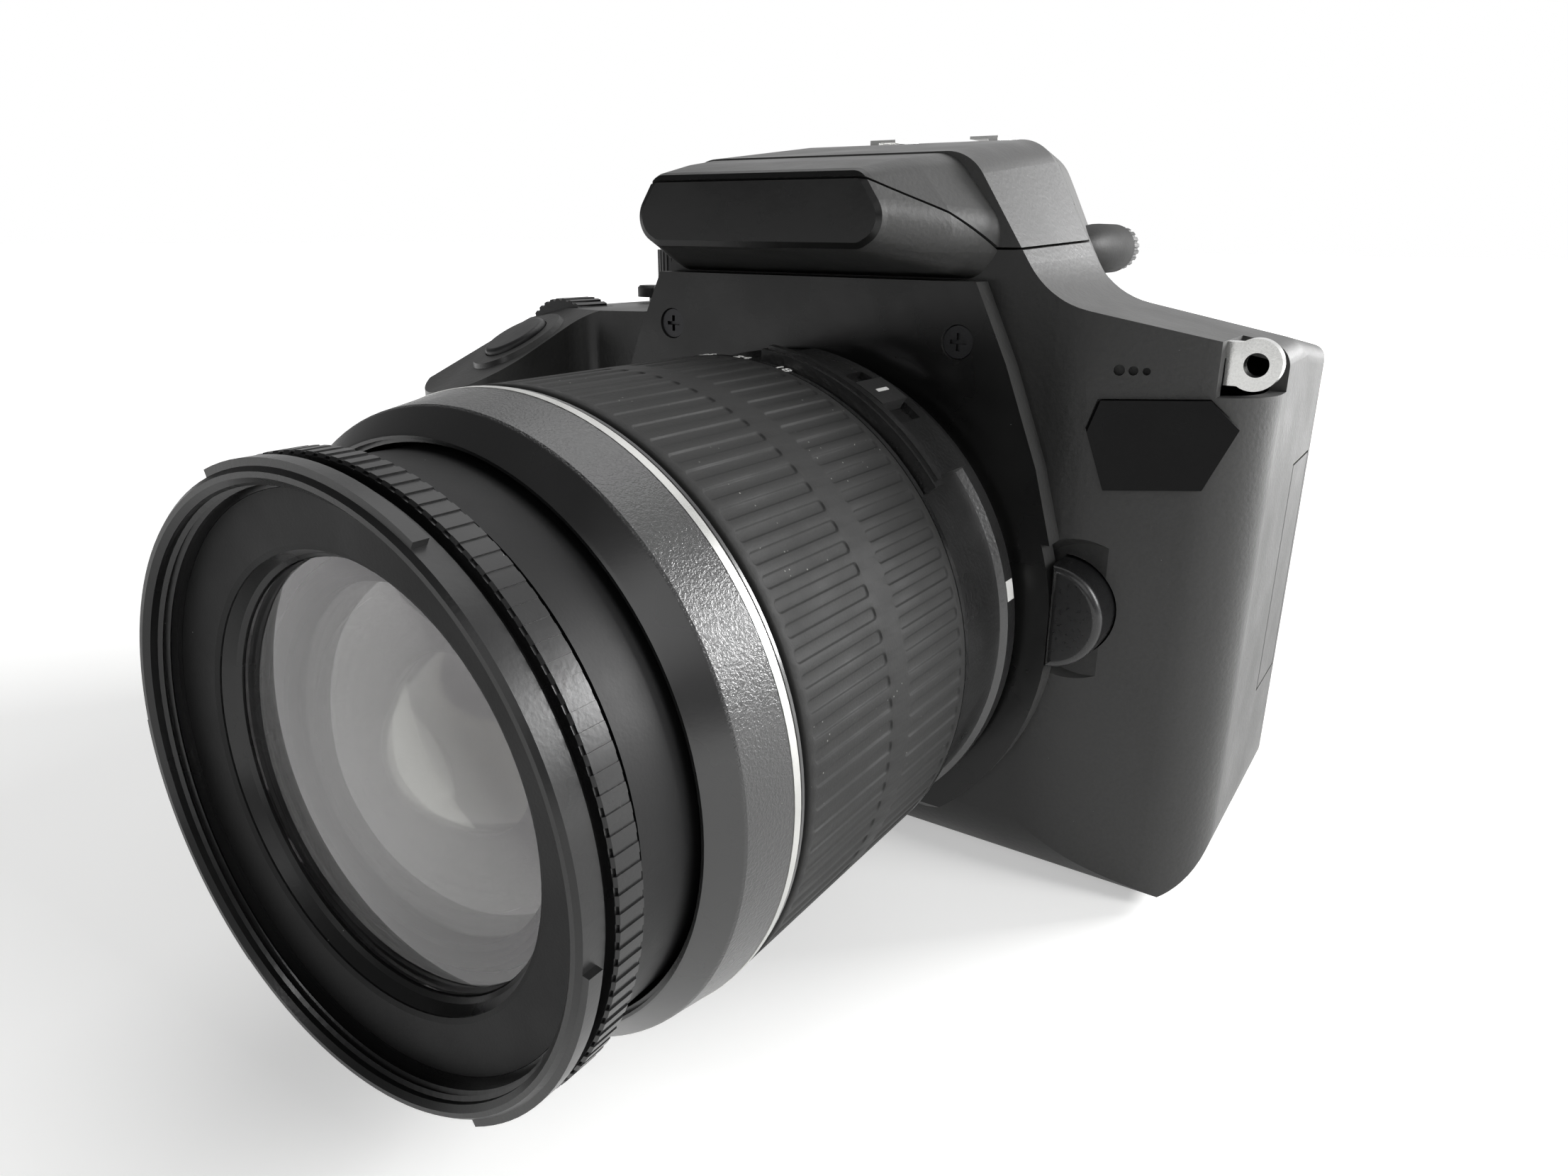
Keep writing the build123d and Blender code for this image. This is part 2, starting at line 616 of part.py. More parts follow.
with BuildPart() as flash_head:
    add(outer.part)
    add(flash_zone.part, mode=Mode.INTERSECT)
    # lamp chamber, open on the underside
    with BuildSketch(Plane.XY.offset(FASCIA[2][1])):
        with Locations((0, VISOR_Y + 15.5)):
            RectangleRounded(LAMP_W + 2 * FIT, LAMP_L + 2 * FIT, 1.5)
    extrude(amount=DECK_Z - HEAD_WALL - 4.4 - FASCIA[2][1], mode=Mode.SUBTRACT)
    for side in (-1, 1):
        with BuildSketch(siding(side * EAR_X - EAR_T / 2 - RUN)):
            with Locations((HINGE_Y, HINGE_Z)):
                Circle(2.2)
                Rectangle(4.4, 14.0, align=(Align.CENTER, Align.MAX))
            with Locations((HINGE_Y - 2.2, HINGE_Z - 10.0)):
                Rectangle(10.0, 12.2, align=(Align.MIN, Align.MIN))
        extrude(amount=EAR_T + 2 * RUN, mode=Mode.SUBTRACT)
    # hinge pin, pressed into the head and turning in the ears
    with BuildSketch(siding(-EAR_X - EAR_T)):
        with Locations((HINGE_Y, HINGE_Z)):
            Circle(HINGE_PIN_R)
    extrude(amount=2 * (EAR_X + EAR_T))
keep(flash_head, "flash_head")

with BuildPart() as flash_window:
    with BuildSketch(Plane.XY.offset(FLASH_SIDE[1][1] + 0.6)):
        with Locations((0, VISOR_Y + 15.5)):
            RectangleRounded(LAMP_W, LAMP_L, 1.4)
    extrude(amount=1.8)
keep(flash_window, "flash_window")

with BuildPart() as shutter_button:
    with BuildSketch(TRIGGER.offset(-WALL - 0.4)):
        Circle(SHUTTER_R)
    extrude(amount=WALL + 2.0)
    fillet(shutter_button.faces().sort_by(Axis.Z)[-1].edges(), 0.8)
    with BuildSketch(TRIGGER.offset(-WALL - 1.4)):
        Circle(SHUTTER_R + 0.9)
    extrude(amount=1.2)
keep(shutter_button, "shutter_button")

with BuildPart() as main_dial:
    with BuildSketch(facing(MAIN_DIAL[1] + MAIN_DIAL_T / 2)):
        with Locations((MAIN_DIAL[0], MAIN_DIAL_Z)):
            Circle(MAIN_DIAL_R)
            with PolarLocations(MAIN_DIAL_R, 36):
                Circle(0.38, mode=Mode.SUBTRACT)
    extrude(amount=MAIN_DIAL_T)
    with BuildSketch(facing(MAIN_DIAL[1] + MAIN_DIAL_T / 2 + 2.5)):
        with Locations((MAIN_DIAL[0], MAIN_DIAL_Z)):
            Circle(DIAL_PIN_R)
    extrude(amount=MAIN_DIAL_T + 5.0)
keep(main_dial, "main_dial")

with BuildPart() as power_lever:
    with BuildSketch(Plane.XY.offset(DIAL_SEAT_Z + 0.1)):
        with Locations(MODE_DIAL):
            Circle(LEVER_R)
            with PolarLocations(LEVER_R, 1, start_angle=215):
                Circle(2.6)
            Circle(DIAL_SHAFT_R + 0.05, mode=Mode.SUBTRACT)
    extrude(amount=LEVER_T)
    chamfer(power_lever.faces().sort_by(Axis.Z)[-1].edges(), 0.4)
keep(power_lever, "power_lever")

with BuildPart() as mode_dial:
    with BuildSketch(Plane.XY.offset(DIAL_SEAT_Z + LEVER_T + 0.3)):
        with Locations(MODE_DIAL):
            Circle(MODE_DIAL_R)
            with PolarLocations(MODE_DIAL_R, 48):
                Circle(0.32, mode=Mode.SUBTRACT)
    extrude(amount=MODE_DIAL_H)
    with BuildSketch(Plane.XY.offset(DIAL_SEAT_Z - 5.0)):
        with Locations(MODE_DIAL):
            Circle(DIAL_SHAFT_R)
    extrude(amount=5.0 + LEVER_T + 0.4)
    with BuildSketch(Plane.XY.offset(DIAL_SEAT_Z - 5.2)):
        with Locations(MODE_DIAL):
            Circle(DIAL_SHAFT_R + 1.6)
    extrude(amount=1.8)
keep(mode_dial, "mode_dial")

with BuildPart() as flash_button:
    with BuildSketch(Plane.XY.offset(SHOULDER_Z - 1.8)):
        with Locations(FLASH_KEY):
            Circle(FLASH_KEY_R)
    extrude(amount=3.6)
    fillet(flash_button.faces().sort_by(Axis.Z)[-1].edges(), 0.5)
    with BuildSketch(Plane.XY.offset(SHOULDER_Z - 2.6)):
        with Locations(FLASH_KEY):
            Circle(FLASH_KEY_R + 0.9)
    extrude(amount=0.9)
keep(flash_button, "flash_button")

with BuildPart() as hot_shoe:
    with BuildSketch(facing(SHOE_Y0 + SHOE_L)):
        with Locations((0, SHOE_Z)):
            Rectangle(SHOE_W, SHOE_SLOT_H + 2 * SHOE_SHEET, align=(Align.CENTER, Align.MIN))
        with Locations((0, SHOE_Z + SHOE_SHEET)):
            Rectangle(SHOE_SLOT_W, SHOE_SLOT_H, align=(Align.CENTER, Align.MIN), mode=Mode.SUBTRACT)
            Rectangle(SHOE_LIP_GAP, 9.0, align=(Align.CENTER, Align.MIN), mode=Mode.SUBTRACT)
    extrude(amount=SHOE_L)
keep(hot_shoe, "hot_shoe")

with BuildPart() as strap_lugs:
    for x_in, x_out, y, z in ((LUG_POCKET[0], RIGHT_X + 0.4, -20.0, 72.5), (GRIP_LUG_POCKET[1], LEFT_X - 0.4, -5.0, 62.0)):
        with BuildSketch(facing(y + 1.0)):
            with Locations((x_out - math.copysign(3.0, x_out), z)):
                Circle(3.0)
            with Locations(((x_in + x_out - math.copysign(3.0, x_out)) / 2, z)):
                Rectangle(abs(x_out - x_in) - 3.0, 5.0)
            with Locations((x_out - math.copysign(2.8, x_out), z)):
                Circle(1.4, mode=Mode.SUBTRACT)
        extrude(amount=2.0)
keep(strap_lugs, "strap_lugs")

# ================================================================ rear cover and what sits in it
with BuildPart() as rear_cover:
    add(outer.part)
    add(inside.part, mode=Mode.SUBTRACT)
    add(rear_half.part, mode=Mode.INTERSECT)
    add(rear_top.part, mode=Mode.SUBTRACT)
    add(flash_pocket.part, mode=Mode.SUBTRACT)
    # screen recess and opening
    with BuildSketch(facing(BACK_Y - 1.3)):
        with Locations((SCREEN_X, SCREEN_Z)):
            RectangleRounded(SCREEN_W + 2 * FIT, SCREEN_H + 2 * FIT, 2.5)
    extrude(amount=-5.0, mode=Mode.SUBTRACT)
    with BuildSketch(facing(BACK_Y - 5.0)):
        with Locations((SCREEN_X, SCREEN_Z)):
            RectangleRounded(SCREEN_W - 6.0, SCREEN_H - 6.0, 1.5)
    extrude(amount=-10.0, mode=Mode.SUBTRACT)
    # finder window
    with BuildSketch(facing(BACK_Y - 6.0)):
        with Locations((0, EYE_Z)):
            RectangleRounded(EYE_W + 2 * FIT, EYE_H + 2 * FIT, 2.0)
        for label, x, z, r in REAR_KEYS:
            with Locations((x, z)):
                Circle(r + 0.15)
        with Locations((PAD_X, PAD_Z)):
            Circle(PAD_R + 0.2)
    extrude(amount=-12.0, mode=Mode.SUBTRACT)
    # seat of the terminal cover and the hole for the connectors
    with BuildSketch(siding(RIGHT_X - PORT_T - 0.1)):
        with Locations(((PORT[0] + PORT[1]) / 2, (PORT[2] + PORT[3]) / 2)):
            Rectangle(PORT[1] - PORT[0] + 2 * RUN, PORT[3] - PORT[2] + 2 * RUN)
    extrude(amount=8.0, mode=Mode.SUBTRACT)
    with BuildSketch(siding(RIGHT_X - 6.0)):
        with Locations(((PORT[0] + PORT[1]) / 2 + 1.0, (PORT[2] + PORT[3]) / 2)):
            Rectangle(PORT[1] - PORT[0] - 4.0, PORT[3] - PORT[2] - 4.0)
    extrude(amount=8.0, mode=Mode.SUBTRACT)
keep(rear_cover, "rear_cover")
def rear_key(x, z, r):
    """Round key in the back with a collar behind the wall."""
    with BuildPart() as key:
        with BuildSketch(facing(BACK_Y - WALL - 0.2)):
            with Locations((x, z)):
                Circle(r)
        extrude(amount=-(WALL + 0.9))
        fillet(key.faces().sort_by(Axis.Y)[-1].edges(), 0.35)
        with BuildSketch(facing(BACK_Y - WALL - 1.3)):
            with Locations((x, z)):
                Circle(r + 0.6)
        extrude(amount=-1.1)
    return key


for label, x, z, r in REAR_KEYS:
    keep(rear_key(x, z, r), label)

# four-way pad round the set button
with BuildPart() as four_way_pad:
    with BuildSketch(facing(BACK_Y - WALL - 1.0)):
        with Locations((PAD_X, PAD_Z)):
            Circle(PAD_R)
            Circle(SET_R + 0.75, mode=Mode.SUBTRACT)
    extrude(amount=-(WALL + 1.6))
    chamfer(four_way_pad.faces().sort_by(Axis.Y)[-1].edges(), 0.3)
    with BuildSketch(facing(BACK_Y - WALL - 1.2)):
        with Locations((PAD_X, PAD_Z)):
            Circle(PAD_R + 0.7)
            Circle(SET_R + 0.75, mode=Mode.SUBTRACT)
    extrude(amount=-1.0)
keep(four_way_pad, "four_way_pad")
keep(rear_key(PAD_X, PAD_Z, SET_R - 0.05), "set_button")

with BuildPart() as display:
    with BuildSketch(facing(BACK_Y - 1.3)):
        with Locations((SCREEN_X, SCREEN_Z)):
            RectangleRounded(SCREEN_W, SCREEN_H, 2.4)
    extrude(amount=-SCREEN_T)
    chamfer(display.faces().sort_by(Axis.Y)[-1].edges(), 0.25)
    # panel bonded to the back of the glass
    with BuildSketch(facing(BACK_Y - 1.3)):
        with Locations((SCREEN_X, SCREEN_Z)):
            RectangleRounded(SCREEN_W - 6.4, SCREEN_H - 6.4, 1.4)
    extrude(amount=3.6)
keep(display, "display")

with BuildPart() as eyepiece_lens:
    with BuildSketch(facing(BACK_Y - 2.4)):
        with Locations((0, EYE_Z)):
            RectangleRounded(EYE_W, EYE_H, 1.9)
    extrude(amount=-2.2)
keep(eyepiece_lens, "eyepiece_lens")

with BuildPart() as eyecup:
    with BuildSketch(facing(BACK_Y)):
        with Locations((0, EYE_Z)):
            RectangleRounded(CUP_W, CUP_H, 6.0)
    extrude(amount=-CUP_DEPTH, taper=4)
    fillet(eyecup.faces().sort_by(Axis.Y)[-1].edges(), 1.2)
    with BuildSketch(facing(BACK_Y)):
        with Locations((0, EYE_Z)):
            RectangleRounded(EYE_W + 2.0, EYE_H + 1.0, 2.5)
    extrude(amount=-CUP_DEPTH, taper=-12, mode=Mode.SUBTRACT)
keep(eyecup, "eyecup")

DIOPTRE = (23.5, 84.5)
with BuildPart() as dioptre_knob:
    with BuildSketch(facing(BACK_Y)):
        with Locations(DIOPTRE):
            Circle(3.4)
            with PolarLocations(3.4, 20):
                Circle(0.25, mode=Mode.SUBTRACT)
    extrude(amount=-3.0)
keep(dioptre_knob, "dioptre_knob")

with BuildPart() as terminal_cover:
    with BuildSketch(siding(RIGHT_X - PORT_T)):
        with Locations(((PORT[0] + PORT[1]) / 2, (PORT[2] + PORT[3]) / 2)):
            Rectangle(PORT[1] - PORT[0], PORT[3] - PORT[2])
    extrude(amount=PORT_T)
    fillet(terminal_cover.edges().filter_by(Axis.Z).group_by(Axis.Y)[0], 0.55)
keep(terminal_cover, "terminal_cover")

# ================================================================ bottom cover, door, tripod socket
SCREWS = [(-30.0, 18.0), (50.0, 16.0), (30.0, -8.0), (-30.0, -10.0), (0.0, 20.0)]
with BuildPart() as bottom_cover:
    add(outer.part)
    add(slab(-90, 90, -60, 60, -5, BASE_T).part, mode=Mode.INTERSECT)
    with BuildSketch(Plane.XY):
        Circle(TRIPOD_INSERT_R)
        with Locations(((DOOR[0] + DOOR[1] + 1.2) / 2, (DOOR[2] + DOOR[3]) / 2)):
            RectangleRounded(DOOR[1] - DOOR[0] + 1.6, DOOR[3] - DOOR[2] + 0.4, 1.0)
        with Locations(*SCREWS):
            Circle(SCREW_R + 0.05)
    extrude(amount=10.0, mode=Mode.SUBTRACT)
    # the pin of the battery door runs through both ends of the opening
    with BuildSketch(facing(DOOR[3] + 2.0)):
        with Locations((DOOR[1], DOOR_T / 2)):
            Circle(DOOR_PIN_R + 0.03)
    extrude(amount=DOOR[3] - DOOR[2] + 4.0, mode=Mode.SUBTRACT)
keep(bottom_cover, "bottom_cover")

with BuildPart() as cover_screws:
    with BuildSketch(Plane.XY.offset(0.3)):
        with Locations(*SCREWS):
            Circle(SCREW_R)
    extrude(amount=BASE_T - 0.3)
    with BuildSketch(Plane.XY.offset(0.3)):
        with Locations(*SCREWS):
            Rectangle(2.2, 0.5)
            Rectangle(0.5, 2.2)
    extrude(amount=0.6, mode=Mode.SUBTRACT)
    with BuildSketch(facing(FRONT_Y - BOSS_H + 1.2)):
        with Locations(*THROAT_SCREWS):
            Circle(SCREW_R)
    extrude(amount=0.9)
    with BuildSketch(facing(FRONT_Y - BOSS_H + 0.3)):
        with Locations(*THROAT_SCREWS):
            Rectangle(2.2, 0.5)
            Rectangle(0.5, 2.2)
    extrude(amount=-0.5, mode=Mode.SUBTRACT)
keep(cover_screws, "cover_screws")

with BuildPart() as battery_door:
    with BuildSketch(Plane.XY.offset(0.1)):
        with Locations(((DOOR[0] + DOOR[1]) / 2, (DOOR[2] + DOOR[3]) / 2)):
            Rectangle(DOOR[1] - DOOR[0], DOOR[3] - DOOR[2])
    extrude(amount=DOOR_T - 0.2)
    fillet(battery_door.edges().filter_by(Axis.Z).group_by(Axis.X)[0], 0.8)
    with BuildSketch(facing(DOOR[3])):
        with Locations((DOOR[1], DOOR_T / 2)):
            Circle(DOOR_AXIS_R)
    extrude(amount=DOOR[3] - DOOR[2])
    with BuildSketch(facing(DOOR[3] + 1.6)):
        with Locations((DOOR[1], DOOR_T / 2)):
            Circle(DOOR_PIN_R)
    extrude(amount=DOOR[3] - DOOR[2] + 3.2)
    # recess of the latch
    with BuildSketch(Plane.XY):
        with Locations((DOOR[0] + 1.5 + (LATCH_L + LATCH_TRAVEL) / 2, -16.0)):
            Rectangle(LATCH_L + LATCH_TRAVEL + 0.4, LATCH_W + 0.4)
    extrude(amount=LATCH_T + 0.2, mode=Mode.SUBTRACT)
keep(battery_door, "battery_door")

with BuildPart() as battery_door_latch:
    with BuildSketch(Plane.XY.offset(0.15)):
        with Locations((DOOR[0] + 1.5 + LATCH_L / 2, -16.0)):
            Rectangle(LATCH_L, LATCH_W)
    extrude(amount=LATCH_T)
    with BuildSketch(Plane.XY.offset(0.15)):
        with Locations(*[(DOOR[0] + 1.5 + LATCH_L / 2 + d, -16.0) for d in (-2.4, -0.8, 0.8, 2.4)]):
            Rectangle(0.6, LATCH_W - 1.6)
    extrude(amount=0.35, mode=Mode.SUBTRACT)
keep(battery_door_latch, "battery_door_latch")

# ================================================================ inner pieces of the body
BATTERY = (-65.5, -50.5, -36.0, 0.0, 2.8, 47.0)
CARD = (-49.0, -46.9, -22.0, 2.0, 2.8, 34.8)
BAY_WALL = 0.9
with BuildPart() as battery_bay:
    add(
        slab(
            BATTERY[0] - 0.1 - BAY_WALL, BATTERY[1] + 0.1 + BAY_WALL,
            BATTERY[2] - 0.1 - BAY_WALL, BATTERY[3] + 0.1 + BAY_WALL,
            BASE_T, BATTERY[5] + 1.2,
        ).part
    )
    fillet(battery_bay.edges().filter_by(Axis.Z).group_by(Axis.Y)[0], 2.6)
    add(
        slab(
            CARD[0] - 0.1 - BAY_WALL, CARD[1] + 0.1 + BAY_WALL,
            CARD[2] - 0.1 - BAY_WALL, CARD[3] + 0.1 + BAY_WALL,
            BASE_T, CARD[5] + 1.0,
        ).part
    )
    add(slab(BATTERY[0] - 0.1, BATTERY[1] + 0.1, BATTERY[2] - 0.1, BATTERY[3] + 0.1, 0, BATTERY[5] + 0.1).part,
        mode=Mode.SUBTRACT)
    add(slab(CARD[0] - 0.1, CARD[1] + 0.1, CARD[2] - 0.1, CARD[3] + 0.1, 0, CARD[5] + 0.1).part,
        mode=Mode.SUBTRACT)
keep(battery_bay, "battery_bay")

with BuildPart() as battery:
    add(slab(*BATTERY).part)
    fillet(battery.edges().filter_by(Axis.Z), 2.5)
    with BuildSketch(Plane.XY.offset(BATTERY[5])):
        with Locations(*[((BATTERY[0] + BATTERY[1]) / 2, y) for y in (-24.0, -20.0, -16.0, -12.0)]):
            Rectangle(6.0, 1.8)
    extrude(amount=-0.6, mode=Mode.SUBTRACT)
keep(battery, "battery")

with BuildPart() as memory_card:
    add(slab(*CARD).part)
    chamfer(memory_card.edges().filter_by(Axis.X).group_by(Axis.Z)[-1].sort_by(Axis.Y)[0], 3.5)
keep(memory_card, "memory_card")

BOX_X = 17.5              # inside half width of the mirror box
BOX_WALL = 1.5
BOX_Z0 = AXIS_Z - 14.5
BOX_Z1 = AXIS_Z + 18.0
BOX_Y1 = 4.0
MIRROR_W = 27.0
MIRROR_L = 23.0
MIRROR_T = 1.4
MIRROR_HINGE = (0, -1.5, AXIS_Z + 16.2)
with BuildPart() as mirror_box:
    add(slab(-BOX_X - BOX_WALL, BOX_X + BOX_WALL, FRONT_Y + WALL, BOX_Y1, BOX_Z0 - BOX_WALL, BOX_Z1 + BOX_WALL).part)
    add(slab(-BOX_X, BOX_X, FRONT_Y, BOX_Y1 + 1, BOX_Z0, BOX_Z1).part, mode=Mode.SUBTRACT)
    add(slab(-14.0, 14.0, -22.0, -2.0, BOX_Z1 - 1, BOX_Z1 + 5).part, mode=Mode.SUBTRACT)
keep(mirror_box, "mirror_box")

MIRROR_PLANE = Plane(origin=MIRROR_HINGE, x_dir=(1, 0, 0), z_dir=(0, 1, -1))
with BuildPart() as mirror:
    with BuildSketch(MIRROR_PLANE):
        with Locations((0, 0.6)):
            Rectangle(MIRROR_W, MIRROR_L - 0.6, align=(Align.CENTER, Align.MIN))
    extrude(amount=MIRROR_T / 2, both=True)
    with BuildSketch(siding(-BOX_X + 0.15)):
        with Locations((MIRROR_HINGE[1], MIRROR_HINGE[2])):
            Circle(0.9)
    extrude(amount=2 * BOX_X - 0.3)
keep(mirror, "mirror")

SCREEN_Z0 = BOX_Z1 + BOX_WALL
with BuildPart() as focusing_screen:
    add(slab(-15.5, 15.5, -23.0, -1.0, SCREEN_Z0, SCREEN_Z0 + 1.4).part)
    chamfer(focusing_screen.faces().sort_by(Axis.Z)[-1].edges(), 0.3)

with BuildPart() as prism:
    with BuildSketch(siding(-15.5)):
        with BuildLine():
            Polyline(
                (-22.5, SCREEN_Z0 + 1.5), (1.0, SCREEN_Z0 + 1.5), (5.0, SCREEN_Z0 + 7.0), (5.0, SCREEN_Z0 + 17.0),
                (-5.0, 82.6), (-15.0, 81.0), (-24.0, SCREEN_Z0 + 9.0), close=True)
        make_face()
    extrude(amount=31.0)
with BuildPart() as finder_optics:
    add(focusing_screen.part)
    add(prism.part)
keep(finder_optics, "finder_optics")

SHUTTER_T = 4.4
with BuildPart() as shutter_unit:
    add(slab(-24.0, 24.0, BOX_Y1, BOX_Y1 + SHUTTER_T, BOX_Z0 - 3.0, BOX_Z1 + 2.0).part)
    with BuildSketch(facing(BOX_Y1)):
        with Locations((0, AXIS_Z)):
            Rectangle(24.0, 16.4)
    extrude(amount=-SHUTTER_T, mode=Mode.SUBTRACT)
    for k in range(4):
        with BuildSketch(facing(BOX_Y1 + 1.6)):
            with Locations((0, AXIS_Z - 6.1 + 4.1 * k)):
                Rectangle(24.0, 4.1)
        extrude(amount=-0.25 - 0.15 * (k % 2))
keep(shutter_unit, "shutter_unit")

SENSOR_Y = MOUNT_Y + FLANGE_DEPTH
with BuildPart() as image_sensor:
    add(slab(-15.0, 15.0, SENSOR_Y - 0.2, SENSOR_Y + 1.4, AXIS_Z - 11.0, AXIS_Z + 11.0).part)
    add(slab(-11.2, 11.2, SENSOR_Y - 1.2, SENSOR_Y - 0.2, AXIS_Z - 7.5, AXIS_Z + 7.5).part)
keep(image_sensor, "image_sensor")

CHASSIS_Y = SENSOR_Y + 1.4
with BuildPart() as chassis:
    add(slab(-40.0, 46.0, CHASSIS_Y, CHASSIS_Y + 1.0, BASE_T, AXIS_Z + 26.0).part)
    add(slab(-24.0, 24.0, -12.0, CHASSIS_Y, BASE_T, BASE_T + 1.2).part)
    # tripod socket standing down through the bottom cover
    with BuildSketch(Plane.XY):
        Circle(TRIPOD_INSERT_R - FIT)
    extrude(amount=TRIPOD_DEPTH + 1.2)
    with BuildSketch(Plane.XY):
        Circle(TRIPOD_R)
    extrude(amount=TRIPOD_DEPTH, mode=Mode.SUBTRACT)
    with BuildSketch(facing(CHASSIS_Y)):
        with Locations((-28.0, 20.0), (-28.0, 50.0), (32.0, 20.0), (32.0, 50.0)):
            Circle(5.0)
    extrude(amount=-2.0, mode=Mode.SUBTRACT)
keep(chassis, "chassis")

with BuildPart() as main_board:
    add(slab(-42.0, 48.0, CHASSIS_Y + 1.0, CHASSIS_Y + 2.4, 6.0, AXIS_Z + 26.0).part)
    for x, z, w, h in ((-15.0, 34.0, 16.0, 16.0), (18.0, 46.0, 11.0, 13.0), (20.0, 22.0, 12.0, 9.0), (-18.0, 14.0, 10.0, 7.0)):
        with BuildSketch(facing(CHASSIS_Y + 2.4)):
            with Locations((x, z)):
                Rectangle(w, h)
        extrude(amount=-1.2)
    # connector block behind the terminal cover
    with BuildSketch(siding(RIGHT_X - 11.0)):
        with Locations(((PORT[0] + PORT[1]) / 2 + 1.0, (PORT[2] + PORT[3]) / 2)):
            Rectangle(PORT[1] - PORT[0] - 4.2, PORT[3] - PORT[2] - 4.2)
    extrude(amount=9.3)
    with BuildSketch(siding(RIGHT_X - 6.0)):
        for z, h in ((31.0, 5.6), (41.0, 7.8), (50.5, 7.0)):
            with Locations(((PORT[0] + PORT[1]) / 2 + 1.0, z)):
                Rectangle(3.4, h)
    extrude(amount=6.0, mode=Mode.SUBTRACT)
keep(main_board, "main_board")


# ================================================================ lens
FLANGE_T = 2.2            # metal mount of the lens
FLANGE_R = MOUNT_RING_R - 0.7
CELL_R = 12.1             # bore for the rear and middle glass
TUBE_IN_R = 23.4          # light baffle inside the bayonet tube
LUG_IN_R = THROAT_R - 0.2
with BuildPart() as lens_mount:
    add(ring(TUBE_IN_R, FLANGE_R, 0, FLANGE_T).part)
    add(ring(TUBE_IN_R, BAYONET_R - 0.4, -5.8, 0).part)
    with BuildSketch(across_lens(-BAYONET_T - 0.1 - 1.4)):
        for k in range(3):
            sector(BAYONET_R - 0.7, LUG_IN_R, 120 * k + 92 - BAYONET_SPAN / 2, BAYONET_SPAN - 4.0)
    extrude(amount=1.4)
    with BuildSketch(across_lens(0)):
        with Locations((PIN_X, 0)):
            Circle(PIN_R + 0.15)
    extrude(amount=PIN_OUT + 0.3, mode=Mode.SUBTRACT)
keep(lens_mount, "lens_mount")

with BuildPart() as rear_barrel:
    add(turned([
        (TUBE_R + RUN, FLANGE_T), (FLANGE_R + FIT, FLANGE_T), (FLANGE_R + FIT, 0.3), (BARREL_R + 0.7, 0.3),
        (BARREL_R + 0.7, 2.6), (BARREL_R, 3.4), (BARREL_R, BARREL_S), (GUIDE_R, BARREL_S), (GUIDE_R, GRIP_S1 + 0.2),
        (TUBE_R + RUN, GRIP_S1 + 0.2), (TUBE_R + RUN, 6.8), (CELL_R, 6.8), (CELL_R, 3.0), (CELL_R + 2.9, 3.0),
        (CELL_R + 2.9, 5.2), (TUBE_R + RUN, 5.2),
    ]).part)
    # raised block of the focus switch
    with BuildSketch(across_lens(FLANGE_T + 1.0)):
        sector(GUIDE_R, BARREL_R + 1.7, 39, 43)
    extrude(amount=BARREL_S - FLANGE_T - 1.2)
    # ridge along the front of the block
    for inset, rise in ((0, 2.4), (0.5, 2.9)):
        with BuildSketch(across_lens(BARREL_S - 2.4 + inset)):
            sector(GUIDE_R, BARREL_R + rise, 37 + 2 * inset, 46 - 4 * inset)
        extrude(amount=2.2 - 2 * inset)
    with BuildSketch(across_lens(FLANGE_T + 3.0)):
        sector(BARREL_R + 0.8, BARREL_R + 4.0, 52, 16)
    extrude(amount=6.6, mode=Mode.SUBTRACT)
keep(rear_barrel, "rear_barrel")

with BuildPart() as focus_mode_switch:
    with BuildSketch(across_lens(FLANGE_T + 3.2)):
        sector(BARREL_R + 0.85, BARREL_R + 2.5, 56.5, 7.0)
    extrude(amount=6.2)
keep(focus_mode_switch, "focus_mode_switch")

def element(s_back, s_front, sag_back, sag_front, r):
    """Glass with spherical faces; s_back and s_front are the vertices, a bulge is positive."""
    def face(vertex, sag):
        if sag == 0:
            return Line((0, vertex), (r, vertex))
        curve = (r * r + sag * sag) / (2 * abs(sag))
        rise = curve - math.sqrt(curve * curve - r * r / 4)
        drop = rise if sag > 0 else -rise
        return ThreePointArc((0, vertex), (r / 2, vertex - drop), (r, vertex - sag))

    with BuildPart() as glass:
        with BuildSketch(LENS_SECTION):
            with BuildLine():
                front = face(s_front, sag_front)
                back = face(s_back, -sag_back)
                Line(front @ 1, back @ 1)
                Line(front @ 0, back @ 0)
            make_face()
        revolve(axis=LENS_AXIS)
    return glass


keep(element(2.0, 8.4, 1.6, 1.9, CELL_R - FIT), "rear_element")

